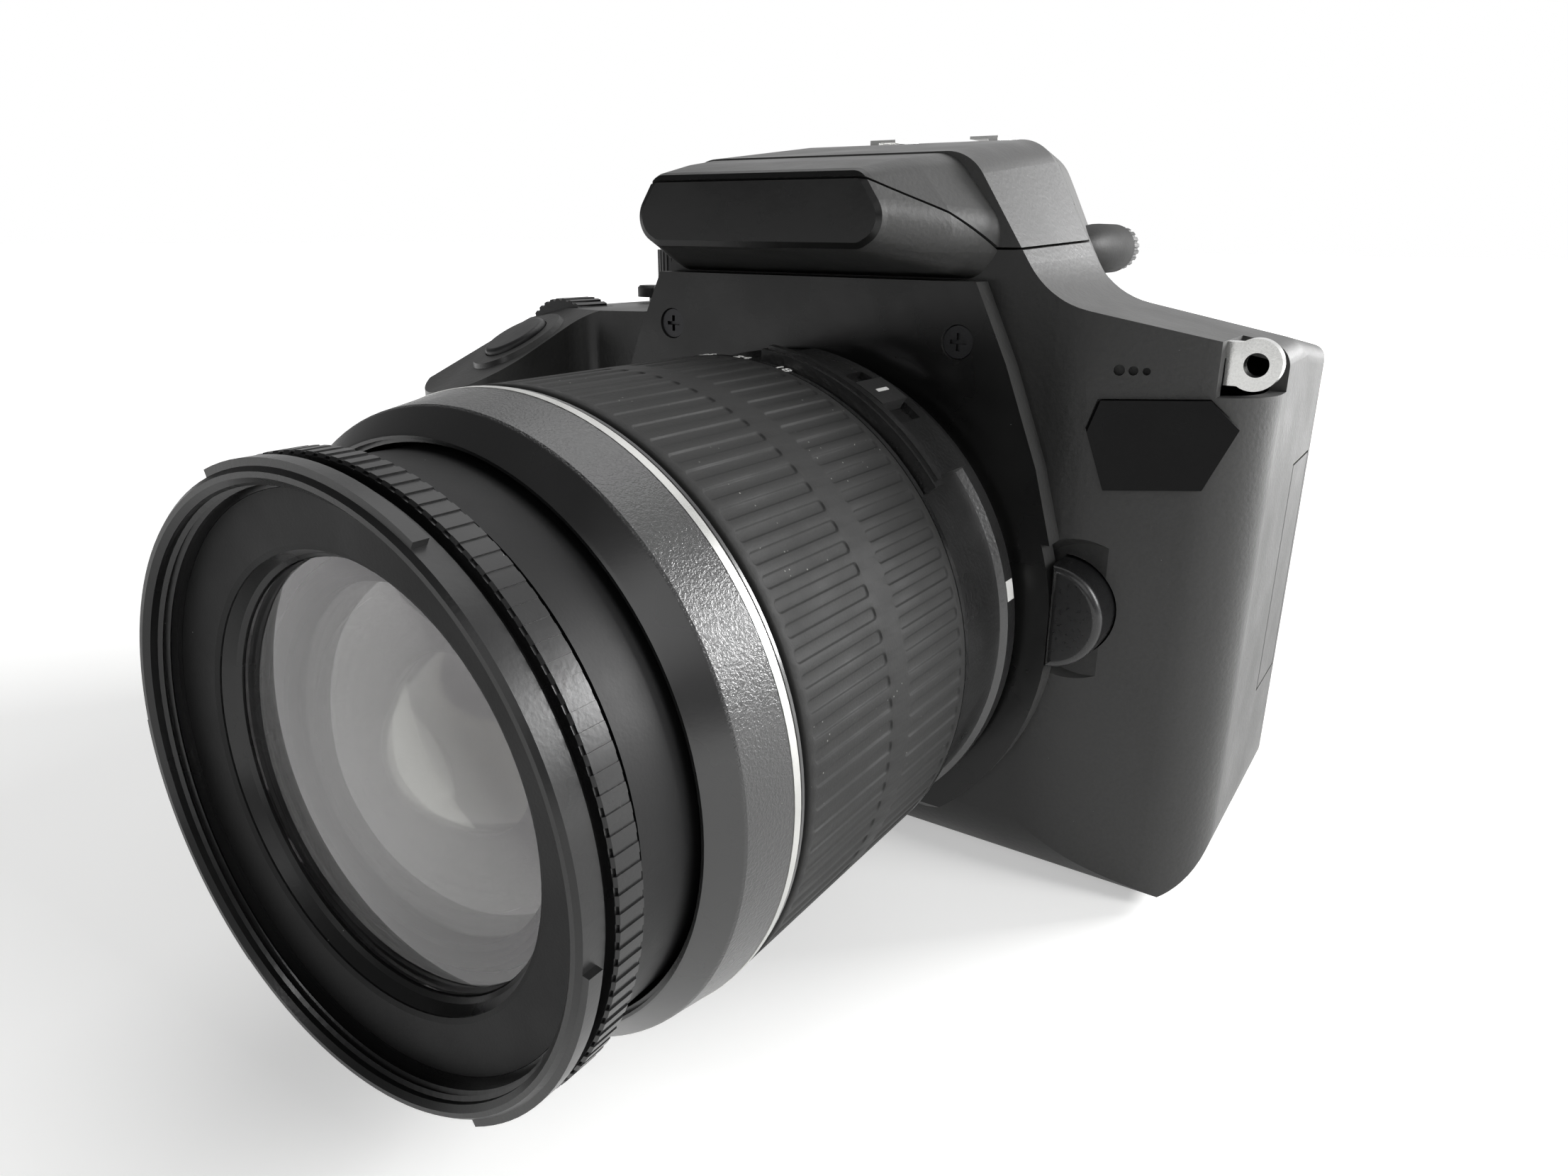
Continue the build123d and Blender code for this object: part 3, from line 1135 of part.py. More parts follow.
BEAD_R = GRIP_R - 0.1
with BuildPart() as zoom_ring:
    add(turned([
        (GUIDE_R + RUN, BARREL_S + 0.3), (GRIP_R - 0.5, BARREL_S + 0.3), (GRIP_R, BARREL_S + 0.8), (GRIP_R, GRIP_S0),
        (ZOOM_CORE_R, GRIP_S0), (ZOOM_CORE_R, GRIP_S1), (BEAD_R - 0.5, GRIP_S1), (BEAD_R - 0.5, GRIP_S1 + 0.4),
        (BEAD_R, GRIP_S1 + 0.6), (BEAD_R, LINE_S0 - 0.4), (BEAD_R - 0.4, LINE_S0 - 0.2), (BEAD_R - 0.4, LINE_S0),
        (ZOOM_CORE_R, LINE_S0), (ZOOM_CORE_R, LINE_S1), (GRIP_R, LINE_S1), (GRIP_R - 0.9, BAND_S1 - 0.3),
        (GRIP_R - 1.1, BAND_S1), (TUBE_R + 1.4, ZOOM_S1 - 0.2), (TUBE_R + 1.2, ZOOM_S1), (TUBE_R + 0.9, ZOOM_S1),
        (TUBE_R + 0.9, ZOOM_S1 - 0.8), (TUBE_R + 0.5, ZOOM_S1 - 0.8), (TUBE_R + 0.5, ZOOM_S1 - 2.8),
        (GUIDE_R + RUN, ZOOM_S1 - 2.8),
    ]).part)
keep(zoom_ring, "zoom_ring")

with BuildPart() as zoom_grip:
    add(ring(ZOOM_CORE_R, GRIP_R, GRIP_S0, GRIP_S1).part)
    for s0, s1 in (REAR_POCKETS, FRONT_POCKETS):
        with BuildSketch(across_lens(s0)):
            with PolarLocations(GRIP_R, GRIP_RIBS):
                Rectangle(1.0, POCKET_W)
        extrude(amount=s1 - s0, mode=Mode.SUBTRACT)
keep(zoom_grip, "zoom_grip")

with BuildPart() as line_ring:
    add(ring(ZOOM_CORE_R, GRIP_R + 0.05, LINE_S0, LINE_S1).part)
keep(line_ring, "line_ring")

with BuildPart() as inner_barrel:
    add(turned([
        (TUBE_R - TUBE_WALL, TUBE_S0), (TUBE_R, TUBE_S0), (TUBE_R, TUBE_S1), (TUBE_R - TUBE_WALL, TUBE_S1),
        (TUBE_R - TUBE_WALL, 42.0), (CELL_R + 2.9, 42.0), (CELL_R + 2.9, 46.5), (CELL_R + 0.5, 46.5),
        (CELL_R, 45.8), (CELL_R, 36.6), (CELL_R + 2.9, 36.6), (CELL_R + 2.9, 40.4), (TUBE_R - TUBE_WALL, 40.4),
    ]).part)
keep(inner_barrel, "inner_barrel")

keep(element(38.2, 46.0, 2.2, 2.5, CELL_R - FIT), "middle_element")

with BuildPart() as aperture_unit:
    add(ring(8.6, CELL_R + 2.9, 33.6, 36.5).part)
    with BuildSketch(across_lens(34.6)):
        Circle(9.0)
        RegularPolygon(6.4, 6, mode=Mode.SUBTRACT)
    extrude(amount=0.6)
keep(aperture_unit, "aperture_unit")

SLEEVE_R = TUBE_R - TUBE_WALL - RUN - 1.3 - RUN
with BuildPart() as focus_tube:
    add(ring(SLEEVE_R + RUN, TUBE_R - TUBE_WALL - RUN, FOCUS_S0 - 13.6, FOCUS_S0 + 0.4).part)
keep(focus_tube, "focus_tube")

with BuildPart() as focus_ring:
    add(turned([
        (GLASS_R + 3.0, FOCUS_S0 - 10.6), (SLEEVE_R, FOCUS_S0 - 10.6), (SLEEVE_R, FOCUS_S0 + 0.7),
        (FILTER_R - 0.1, FOCUS_S0 + 0.7), (FILTER_R - 0.1, FOCUS_S0), (KNURL_R - 0.4, FOCUS_S0),
        (KNURL_R, FOCUS_S0 + 0.3), (KNURL_R, KNURL_S1 - 0.2), (KNURL_R - 0.3, KNURL_S1), (RIM_R - 0.5, KNURL_S1),
        (RIM_R - 0.5, KNURL_S1 + 0.4), (RIM_R, KNURL_S1 + 0.6), (RIM_R, RIM_S - 0.4), (RIM_R - 0.4, RIM_S),
        (FILTER_R + 0.5, RIM_S), (FILTER_R, RIM_S - 0.5), (FILTER_R, NAME_S), (NAME_OUT_R, NAME_S),
        (NAME_OUT_R, NAME_S - 0.8), (NAME_HOLE_R, NAME_S - 0.8), (GLASS_R + 0.4, GLASS_S + 0.7),
        (GLASS_R, GLASS_S + 0.3), (GLASS_R, GLASS_S - 4.7), (GLASS_R - 1.0, GLASS_S - 4.7),
        (GLASS_R - 1.0, FOCUS_S0 - 8.6), (GLASS_R + 3.0, FOCUS_S0 - 8.6),
    ]).part)
    with BuildSketch(across_lens(FOCUS_S0 - 0.5)):
        with PolarLocations(KNURL_R + 0.05, KNURL_TEETH):
            Rectangle(0.8, 0.75)
    extrude(amount=KNURL_S1 - FOCUS_S0 + 0.6, mode=Mode.SUBTRACT)
    # lugs of the hood bayonet
    with BuildSketch(across_lens(RIM_S - 1.9)):
        for k in range(3):
            sector(RIM_R - 0.3, LUG_R, 120 * k + 60, 52)
    extrude(amount=1.5)
keep(focus_ring, "focus_ring")

with BuildPart() as name_ring:
    add(turned([(NAME_HOLE_R, NAME_S - 0.8), (NAME_OUT_R - 0.05, NAME_S - 0.8), (NAME_OUT_R - 0.05, NAME_S),
                (NAME_HOLE_R + 0.5, NAME_S - 0.35), (NAME_HOLE_R, NAME_S - 0.6)]).part)
keep(name_ring, "name_ring")

keep(element(GLASS_S - 1.3, GLASS_S + 2.4, -3.4, 2.4, GLASS_R - 0.02), "front_element")
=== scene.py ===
"""Looks of the camera: materials, fine forms, printed marks, light and viewpoint.

The part stands on z = 0 and its lens points along -Y. Lengths are in metres; s is the distance
in front of the plane that the lens mounts on.
"""
import math

import bmesh
import bpy
from mathutils import Matrix, Vector


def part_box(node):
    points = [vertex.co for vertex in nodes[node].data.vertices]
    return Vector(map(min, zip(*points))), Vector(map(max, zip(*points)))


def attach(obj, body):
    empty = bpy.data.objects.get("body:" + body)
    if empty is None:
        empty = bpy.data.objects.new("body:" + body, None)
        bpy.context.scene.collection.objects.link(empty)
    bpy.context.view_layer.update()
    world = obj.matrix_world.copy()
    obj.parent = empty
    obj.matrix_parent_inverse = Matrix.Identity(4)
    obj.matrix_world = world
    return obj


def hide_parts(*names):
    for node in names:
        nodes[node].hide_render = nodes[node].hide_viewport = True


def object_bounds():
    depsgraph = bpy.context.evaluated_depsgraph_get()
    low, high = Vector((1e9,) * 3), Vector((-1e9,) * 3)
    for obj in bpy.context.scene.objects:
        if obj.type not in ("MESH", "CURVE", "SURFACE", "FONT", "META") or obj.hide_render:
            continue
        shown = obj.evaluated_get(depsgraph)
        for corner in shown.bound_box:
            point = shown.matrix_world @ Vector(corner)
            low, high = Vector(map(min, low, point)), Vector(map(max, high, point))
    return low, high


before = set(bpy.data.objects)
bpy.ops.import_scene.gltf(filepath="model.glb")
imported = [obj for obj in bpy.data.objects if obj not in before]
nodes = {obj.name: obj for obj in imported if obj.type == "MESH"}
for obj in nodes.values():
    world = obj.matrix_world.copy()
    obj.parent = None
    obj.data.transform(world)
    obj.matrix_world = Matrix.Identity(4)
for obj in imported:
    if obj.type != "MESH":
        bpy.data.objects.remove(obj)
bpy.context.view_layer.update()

MM = 0.001
AXIS_Z = 38 * MM              # lens axis above the base
MOUNT_Y = -32 * MM            # mounting plane of the lens
GRIP_START, GRIP_END = 16.2 * MM, 49.8 * MM       # rubber of the zoom ring
BAND_START, BAND_END = 52.3 * MM, 58.2 * MM       # painted band of the zoom ring


# ---------------------------------------------------------------- node helpers
class Graph:
    """Short ways to add nodes to a node tree."""

    def __init__(self, tree):
        self.tree = tree

    def node(self, kind, **values):
        made = self.tree.nodes.new(kind)
        for key, value in values.items():
            setattr(made, key, value)
        return made

    def link(self, start, end):
        self.tree.links.new(start, end)

    def feed(self, socket, value):
        """Give a socket a constant, or link it to another socket."""
        if isinstance(value, (int, float)):
            socket.default_value = value
        else:
            self.link(value, socket)

    def math(self, operation, a, b):
        made = self.node("ShaderNodeMath", operation=operation)
        self.feed(made.inputs[0], a)
        self.feed(made.inputs[1], b)
        return made.outputs[0]

    def span(self, value, low, high, to_low, to_high):
        """Value mapped from low ... high to to_low ... to_high, and clamped there."""
        made = self.node("ShaderNodeMapRange")
        ends = {"From Min": low, "From Max": high, "To Min": to_low, "To Max": to_high}
        for key, number in ends.items():
            made.inputs[key].default_value = number
        self.link(value, made.inputs["Value"])
        return made.outputs["Result"]

    def background_rays(self):
        """(1 for camera rays, 1 for camera, mirror and glass rays), 0 for diffuse light."""
        rays = self.node("ShaderNodeLightPath").outputs
        camera_or_mirror = self.math("MAXIMUM", rays["Is Camera Ray"], rays["Is Glossy Ray"])
        seen_at_all = self.math("MAXIMUM", camera_or_mirror, rays["Is Transmission Ray"])
        return rays["Is Camera Ray"], seen_at_all


class Surface(Graph):
    """A Principled material with its detail built from Object coordinates."""

    def __init__(self, name, color, rough, metal=0.0, specular=0.5):
        self.mat = bpy.data.materials.new(name)
        self.mat.use_nodes = True
        super().__init__(self.mat.node_tree)
        self.bsdf = self.tree.nodes["Principled BSDF"]
        self.color = color
        self.bsdf.inputs["Base Color"].default_value = (*color, 1)
        self.bsdf.inputs["Roughness"].default_value = rough
        self.bsdf.inputs["Metallic"].default_value = metal
        self.bsdf.inputs["Specular IOR Level"].default_value = specular
        self.coord = self.node("ShaderNodeTexCoord").outputs["Object"]
        self.relief = None

    def stretched(self, scale):
        mapping = self.node("ShaderNodeMapping")
        mapping.inputs["Scale"].default_value = scale
        self.link(self.coord, mapping.inputs["Vector"])
        return mapping.outputs["Vector"]

    def noise(self, size, detail=3.0, vector=None, rough=0.55):
        """Noise whose features are about size across."""
        made = self.node("ShaderNodeTexNoise")
        made.inputs["Scale"].default_value = 1 / size
        made.inputs["Detail"].default_value = detail
        made.inputs["Roughness"].default_value = rough
        self.link(vector or self.coord, made.inputs["Vector"])
        return made.outputs["Fac"]

    def cells(self, size, feature="F1", smooth=None):
        made = self.node("ShaderNodeTexVoronoi", feature=feature)
        made.inputs["Scale"].default_value = 1 / size
        if smooth is not None:
            made.inputs["Smoothness"].default_value = smooth
        self.link(self.coord, made.inputs["Vector"])
        return made.outputs["Distance"]

    def average(self, a, b):
        return self.math("ADD", self.math("MULTIPLY", a, 0.5), self.math("MULTIPLY", b, 0.5))

    def shade(self, value, low, high):
        """Colour that runs from low to high times the base colour as value goes from 0 to 1."""
        self.mix(value, [c * high for c in self.color], [c * low for c in self.color])

    def mix(self, value, color, start=None):
        """Go towards a colour with value, from what the base colour is by now, or from start."""
        made = self.node("ShaderNodeMix", data_type="RGBA")
        self.link(value, made.inputs["Factor"])
        socket = self.bsdf.inputs["Base Color"]
        if socket.is_linked:
            self.link(socket.links[0].from_socket, made.inputs["A"])
        else:
            made.inputs["A"].default_value = (*start, 1)
        made.inputs["B"].default_value = (*color, 1)
        self.link(made.outputs["Result"], socket)

    def roughen(self, value, low, high):
        """Roughness from low to high over the middle of the range of a noise."""
        self.link(self.span(value, 0.3, 0.7, low, high), self.bsdf.inputs["Roughness"])

    def bump(self, value, depth, strength=1.0):
        """Relief of the given depth from a value between 0 and 1, on top of the relief so far."""
        made = self.node("ShaderNodeBump")
        made.inputs["Distance"].default_value = depth
        self.feed(made.inputs["Strength"], strength)
        self.link(value, made.inputs["Height"])
        if self.relief is not None:
            self.link(self.relief, made.inputs["Normal"])
        self.relief = made.outputs["Normal"]
        self.link(self.relief, self.bsdf.inputs["Normal"])

    def along(self, axis, start, end):
        """0 before start, 1 past end, along an axis of the part's own frame."""
        made = self.node("ShaderNodeSeparateXYZ")
        self.link(self.coord, made.inputs[0])
        if start < end:
            return self.span(made.outputs[axis], start, end, 0, 1)
        return self.span(made.outputs[axis], end, start, 1, 0)

    def facing_front(self):
        """1 on faces within about 20 degrees of the front of the part, 0 past about 45 degrees."""
        made = self.node("ShaderNodeSeparateXYZ")
        self.link(self.node("ShaderNodeTexCoord").outputs["Normal"], made.inputs[0])
        return self.span(made.outputs["Y"], -0.93, -0.7, 1, 0)

    def dust(self, size, share, color=(0.55, 0.55, 0.53)):
        """Sparse pale specks of dust."""
        speck = self.span(self.cells(size), 0.0, share, 1.0, 0.0)
        sparse = self.span(self.noise(size * 9, 1.0), 0.56, 0.60, 0.0, 1.0)
        self.mix(self.math("MULTIPLY", speck, sparse), color, self.color)


# ---------------------------------------------------------------- kinds of material
FRONT_SHADE_BLACK = (0.005, 0.005, 0.005)      # painted shade: deep black put on the smooth faces that face the front
POLISH_GAIN = 0.2                     # how much smoother those faces are
POLISHED_RELIEF = 0.1                 # share of the grain that is left on them


def moulded(name, color, rough, grain=0.45 * MM, depth=0.03 * MM, specular=0.4, polish_and_shade_at=None):
    """Moulded plastic with a fine spark-eroded grain and faint handling marks.
    polish_and_shade_at = (axis, start, end) polishes its front faces past a place in the part and paints
    shade on them, a deep black on the faces that face the front."""
    s = Surface(name, color, rough, specular=specular)
    fine = s.noise(grain, 2.0)
    broad = s.noise(14 * MM, 4.0)
    s.shade(s.average(fine, broad), 0.66, 1.34)
    s.roughen(broad, rough - 0.08, rough + 0.08)
    strength = 1.0
    if polish_and_shade_at:
        polish_and_shade = s.math("MULTIPLY", s.along(*polish_and_shade_at), s.facing_front())
        # painted shade: the faces that face the front, past the given place, are painted deep black; the
        # lower roughness there is a real polish
        s.mix(polish_and_shade, FRONT_SHADE_BLACK)
        roughness = s.bsdf.inputs["Roughness"]
        gain = s.math("MULTIPLY", polish_and_shade, POLISH_GAIN)
        s.link(s.math("SUBTRACT", roughness.links[0].from_socket, gain), roughness)
        strength = s.span(polish_and_shade, 0, 1, 1.0, POLISHED_RELIEF)
    s.bump(fine, depth, strength)
    s.bump(s.cells(grain * 1.6, "SMOOTH_F1", 0.6), depth * 0.8, strength)
    s.dust(1.6 * MM, 0.04)
    return s.mat


def sparkling(name, color, rough, band):
    """Painted barrel: a coarse sparkling texture in the band (start, end along Y), satin past it."""
    s = Surface(name, color, rough, specular=0.9)
    grit = s.noise(0.32 * MM, 2.0, rough=0.7)
    broad = s.noise(12 * MM, 3.0)
    start, end = band
    edge = 0.1 * MM
    textured = s.math("MULTIPLY", s.along("Y", end - edge, end), s.along("Y", start + edge, start))
    s.shade(broad, 0.85, 1.15)
    s.mix(textured, [c * 1.8 for c in color])
    s.roughen(broad, rough - 0.05, rough + 0.05)
    s.bump(s.math("MULTIPLY", s.span(grit, 0.40, 0.66, 0, 1), textured), 0.022 * MM)
    s.bump(grit, 0.004 * MM)
    s.dust(1.4 * MM, 0.05)
    return s.mat


def rubber(name, color, rough):
    s = Surface(name, color, rough, specular=0.2)
    fine = s.noise(0.35 * MM, 3.0)
    broad = s.noise(9 * MM, 3.0)
    s.shade(s.average(fine, broad), 0.7, 1.35)
    s.roughen(broad, rough - 0.08, rough + 0.08)
    s.bump(fine, 0.03 * MM)
    s.dust(1.3 * MM, 0.09, (0.35, 0.35, 0.33))
    return s.mat


def pebbled(name, color, rough):
    """Grip rubber with a leather-like pebble, with painted shade in the creases between the pebbles."""
    s = Surface(name, color, rough, specular=0.35)
    pebble = s.cells(1.1 * MM, "SMOOTH_F1", 0.35)
    fine = s.noise(0.2 * MM, 2.0)
    # painted shade: the pebbles are painted lighter on their tops and darker in the creases between them
    s.shade(pebble, 1.25, 0.7)
    s.roughen(fine, rough - 0.06, rough + 0.1)
    s.bump(s.span(pebble, 0.1, 0.6, 1.0, 0.0), 0.14 * MM)
    s.bump(fine, 0.02 * MM)
    s.dust(1.7 * MM, 0.05)
    return s.mat


def gloss(name, color, rough, coat=0.6):
    """Smooth shiny plastic with a slight orange peel and hairline marks."""
    s = Surface(name, color, rough)
    s.bsdf.inputs["Coat Weight"].default_value = coat
    s.bsdf.inputs["Coat Roughness"].default_value = 0.12
    peel = s.noise(1.5 * MM, 2.0)
    marks = s.noise(0.5 * MM, 2.0, s.stretched((1, 7, 1)))
    s.shade(peel, 0.8, 1.2)
    s.roughen(marks, rough - 0.05, rough + 0.12)
    s.bump(peel, 0.01 * MM)
    s.dust(1.5 * MM, 0.04)
    return s.mat


def metal(name, color, rough, stretch=(1, 1, 1)):
    """Bright metal with turning or brushing marks along one direction."""
    s = Surface(name, color, rough, metal=1.0)
    lines = s.noise(0.25 * MM, 3.0, s.stretched(stretch))
    broad = s.noise(6 * MM, 3.0)
    s.shade(s.math("MULTIPLY", lines, s.math("ADD", broad, 0.5)), 0.72, 1.15)
    s.roughen(broad, rough - 0.06, rough + 0.1)
    s.bump(lines, 0.006 * MM)
    return s.mat


def printed(name, color):
    """Thin screen print with a slightly broken surface."""
    s = Surface(name, color, 0.55, specular=0.3)
    speckle = s.noise(0.12 * MM, 3.0)
    s.shade(speckle, 0.75, 1.1)
    s.bump(speckle, 0.01 * MM)
    return s.mat


def glass(name, tint, coat_tint, ior=1.7):
    """Coated optical glass with faint smears."""
    s = Surface(name, tint, 0.02)
    s.bsdf.inputs["Transmission Weight"].default_value = 1.0
    s.bsdf.inputs["IOR"].default_value = ior
    s.bsdf.inputs["Specular Tint"].default_value = (*coat_tint, 1)
    s.roughen(s.noise(7 * MM, 4.0), 0.012, 0.03)
    return s.mat


# ---------------------------------------------------------------- materials
COVER = (0.044, 0.044, 0.0432)        # grey-black of the body covers

body_black = moulded("body_black", COVER, 0.48)
# front_black and fascia_black carry painted shade: a deep black on their faces that face the front
front_black = moulded("front_black", COVER, 0.48, polish_and_shade_at=("Y", -24 * MM, -29 * MM))
seat_black = moulded("seat_black", (0.018, 0.018, 0.0177), 0.62, depth=0.02 * MM, specular=0.12)
fascia_black = moulded("fascia_black", (0.036, 0.036, 0.0355), 0.46,
                       grain=0.4 * MM, depth=0.02 * MM, polish_and_shade_at=("Y", -30 * MM, -38 * MM))
key_black = moulded("key_black", (0.010, 0.010, 0.0105), 0.40, grain=0.25 * MM, depth=0.01 * MM)
lens_satin = moulded("lens_satin", (0.0075, 0.0075, 0.0077), 0.32,
                     grain=0.3 * MM, depth=0.006 * MM, specular=0.45)
band_satin = sparkling("band_satin", (0.0075, 0.0075, 0.0077), 0.27,
                       (MOUNT_Y - BAND_START, MOUNT_Y - BAND_END))
barrel_satin = moulded("barrel_satin", (0.012, 0.012, 0.012), 0.31,
                       grain=0.35 * MM, depth=0.03 * MM, specular=0.9)
tube_black = moulded("tube_black", (0.005, 0.005, 0.0052), 0.5,
                     grain=0.25 * MM, depth=0.006 * MM, specular=0.25)
inner_black = moulded("inner_black", (0.003, 0.003, 0.003), 0.8,
                      grain=0.3 * MM, depth=0.02 * MM, specular=0.15)
slider_grey = moulded("slider_grey", (0.030, 0.030, 0.030), 0.42, grain=0.25 * MM, depth=0.01 * MM)
badge_dark = moulded("badge_dark", (0.005, 0.005, 0.0052), 0.3,
                     grain=0.25 * MM, depth=0.004 * MM, specular=0.12)
name_black = moulded("name_black", (0.0065, 0.0065, 0.0067), 0.5,
                     grain=0.25 * MM, depth=0.008 * MM, specular=0.22)
case_grey = moulded("case_grey", (0.05, 0.05, 0.053), 0.5)
zoom_rubber = rubber("zoom_rubber", (0.020, 0.020, 0.0197), 0.65)
cup_rubber = rubber("cup_rubber", (0.014, 0.014, 0.014), 0.65)
grip_skin = pebbled("grip_skin", (0.016, 0.016, 0.0165), 0.6)
release_black = gloss("release_black", (0.006, 0.006, 0.0065), 0.3, 0.3)
display_black = gloss("display_black", (0.004, 0.0045, 0.006), 0.08, 0.15)
lamp_red = gloss("lamp_red", (0.10, 0.03, 0.025), 0.25)
frosted = gloss("frosted", (0.62, 0.62, 0.6), 0.35)
board_green = gloss("board_green", (0.02, 0.09, 0.04), 0.4, 0.2)
chrome = metal("chrome", (0.55, 0.55, 0.54), 0.18)
steel = metal("steel", (0.55, 0.55, 0.54), 0.32, stretch=(1, 12, 1))
dark_steel = metal("dark_steel", (0.05, 0.05, 0.052), 0.42)
silver_line = metal("silver_line", (0.62, 0.62, 0.60), 0.28, stretch=(1, 20, 1))
mirror_silver = metal("mirror_silver", (0.85, 0.85, 0.85), 0.06)
front_glass = glass("front_glass", (0.90, 0.90, 0.89), (0.76, 0.73, 0.76), 1.65)
second_glass = glass("second_glass", (0.80, 0.80, 0.80), (0.80, 0.78, 0.80), 1.75)
third_glass = glass("third_glass", (0.75, 0.75, 0.70), (0.9, 0.88, 0.74), 1.8)
inner_glass = glass("inner_glass", (0.86, 0.84, 0.8), (1.0, 0.9, 0.75))
clear_glass = glass("clear_glass", (0.95, 0.96, 0.97), (1, 1, 1), 1.5)
white_print = printed("white_print", (0.78, 0.78, 0.76))

LOOKS = {
    body_black: "rear_cover bottom_cover battery_door terminal_cover",
    front_black: "front_cover top_cover",
    fascia_black: "flash_head",
    key_black: "shutter_button main_dial mode_dial power_lever flash_button dioptre_knob "
               "battery_door_latch live_view_button ae_lock_button af_point_button "
               "exposure_button quick_menu_button menu_button playback_button erase_button "
               "four_way_pad set_button",
    slider_grey: "focus_mode_switch",
    lens_satin: "focus_ring",
    barrel_satin: "rear_barrel",
    band_satin: "zoom_ring",
    name_black: "name_ring",
    tube_black: "inner_barrel",
    inner_black: "aperture_unit focus_tube mirror_box shutter_unit battery_bay",
    badge_dark: "badge_plate",
    cup_rubber: "eyecup",
    grip_skin: "grip_rubbers",
    release_black: "lens_release_button",
    display_black: "display",
    chrome: "strap_lugs",
    steel: "mount_ring lens_mount hot_shoe chassis",
    dark_steel: "cover_screws",
    silver_line: "line_ring",
    inner_glass: "middle_element rear_element image_sensor",
    clear_glass: "eyepiece_lens finder_optics",
    lamp_red: "timer_lamp",
    frosted: "flash_window",
    board_green: "main_board",
    case_grey: "battery memory_card",
    mirror_silver: "mirror",
}
for look, node_names in LOOKS.items():
    for node_name in node_names.split():
        nodes[node_name].data.materials.clear()
        nodes[node_name].data.materials.append(look)


# ---------------------------------------------------------------- makers of pieces
def piece(name, mesh, look, body):
    made = bpy.data.objects.new(name, mesh)
    bpy.context.scene.collection.objects.link(made)
    mesh.materials.append(look)
    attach(made, body)
    return made


def mesh_from(name, points, faces, sharp_angle=None):
    """Mesh of points and faces, smooth up to the sharp angle where one is given, in degrees."""
    mesh = bpy.data.meshes.new(name)
    mesh.from_pydata(points, [], faces)
    mesh.validate()
    for face in mesh.polygons:
        face.use_smooth = sharp_angle is not None
    if sharp_angle is not None:
        mesh.set_sharp_from_angle(angle=math.radians(sharp_angle))
    return mesh


def on_lens(radius, angle, s):
    """Point at an angle in degrees round the lens axis: 0 is +X, 90 is up."""
    a = math.radians(angle)
    return Vector((radius * math.cos(a), MOUNT_Y - s, AXIS_Z + radius * math.sin(a)))


def on_base(radius, angle, height):
    """Point at an angle in degrees round the axis of the tripod socket."""
    a = math.radians(angle)
    return Vector((radius * math.cos(a), radius * math.sin(a), height))


def lens_patch(name, radius, angle, s, width, length, look, body):
    """Thin printed patch on a barrel: width round the barrel, length along it."""
    thick, steps = 0.05 * MM, 6
    points, faces = [], []
    half = math.degrees(width / 2 / radius)
    for r in (radius - thick, radius + thick):
        for k in range(steps + 1):
            a = angle - half + 2 * half * k / steps
            points += [on_lens(r, a, s - length / 2), on_lens(r, a, s + length / 2)]
    n = 2 * (steps + 1)
    for k in range(steps):
        i = 2 * k
        faces += [(n + i, n + i + 1, n + i + 3, n + i + 2), (i, i + 2, i + 3, i + 1)]
        faces += [(i, n + i, n + i + 2, i + 2), (i + 1, i + 3, n + i + 3, n + i + 1)]
    last = 2 * steps
    faces += [(0, 1, n + 1, n), (last, n + last, n + last + 1, last + 1)]
    return piece(name, mesh_from(name, points, faces), look, body)


def text_mesh(name, text, height):
    """Flat mesh of a plain number, centred, standing up along +Y with its face at +Z."""
    curve = bpy.data.curves.new(name, "FONT")
    curve.body = text
    curve.size = height * 1.4         # a digit is about 0.7 of the font size high
    curve.align_x = "CENTER"
    curve.align_y = "CENTER"
    curve.extrude = 0.03 * MM
    carrier = bpy.data.objects.new(name + "_text", curve)
    bpy.context.scene.collection.objects.link(carrier)
    bpy.context.view_layer.update()
    graph = bpy.context.evaluated_depsgraph_get()
    mesh = bpy.data.meshes.new_from_object(carrier.evaluated_get(graph))
    bpy.data.objects.remove(carrier)
    mesh.materials.clear()
    mesh.name = name
    return mesh


def lens_number(name, text, radius, angle, s, height, body):
    """Plain number printed on a barrel, its top towards the body."""
    mesh = text_mesh(name, text, height)
    for v in mesh.vertices:
        x, y, z = v.co
        v.co = on_lens(radius + z, angle - math.degrees(x / radius), s - y)
    return piece(name, mesh, white_print, body)


def flat_number(name, text, centre, up, out, height, body):
    """Plain number on a flat face: up is the way its top points, out is the face's normal."""
    mesh = text_mesh(name, text, height)
    up, out = Vector(up).normalized(), Vector(out).normalized()
    placing = Matrix((up.cross(out), up, out)).transposed().to_4x4()
    placing.translation = Vector(centre)
    mesh.transform(placing)
    return piece(name, mesh, white_print, body)


def helix(name, at, radius, start, pitch, turns, height, look, body):
    """Fine V-shaped thread ridge standing inwards from a bore; at(radius, angle, place) is a point."""
    per_turn, run_out = 120, 20
    root, flank = radius + 0.02 * MM, pitch * 0.42
    points, faces = [], []
    count = int(turns * per_turn)
    for k in range(count + 1):
        fade = min(1, k / run_out, (count - k) / run_out)
        along = start + pitch * k / per_turn
        for r, shift in ((root, -flank), (radius - height * fade, 0), (root, flank)):
            points.append(at(r, 360 * k / per_turn, along + shift))
    for k in range(count):
        i = 3 * k
        faces += [(i, i + 1, i + 4, i + 3), (i + 1, i + 2, i + 5, i + 4)]
    return piece(name, mesh_from(name, points, faces), look, body)


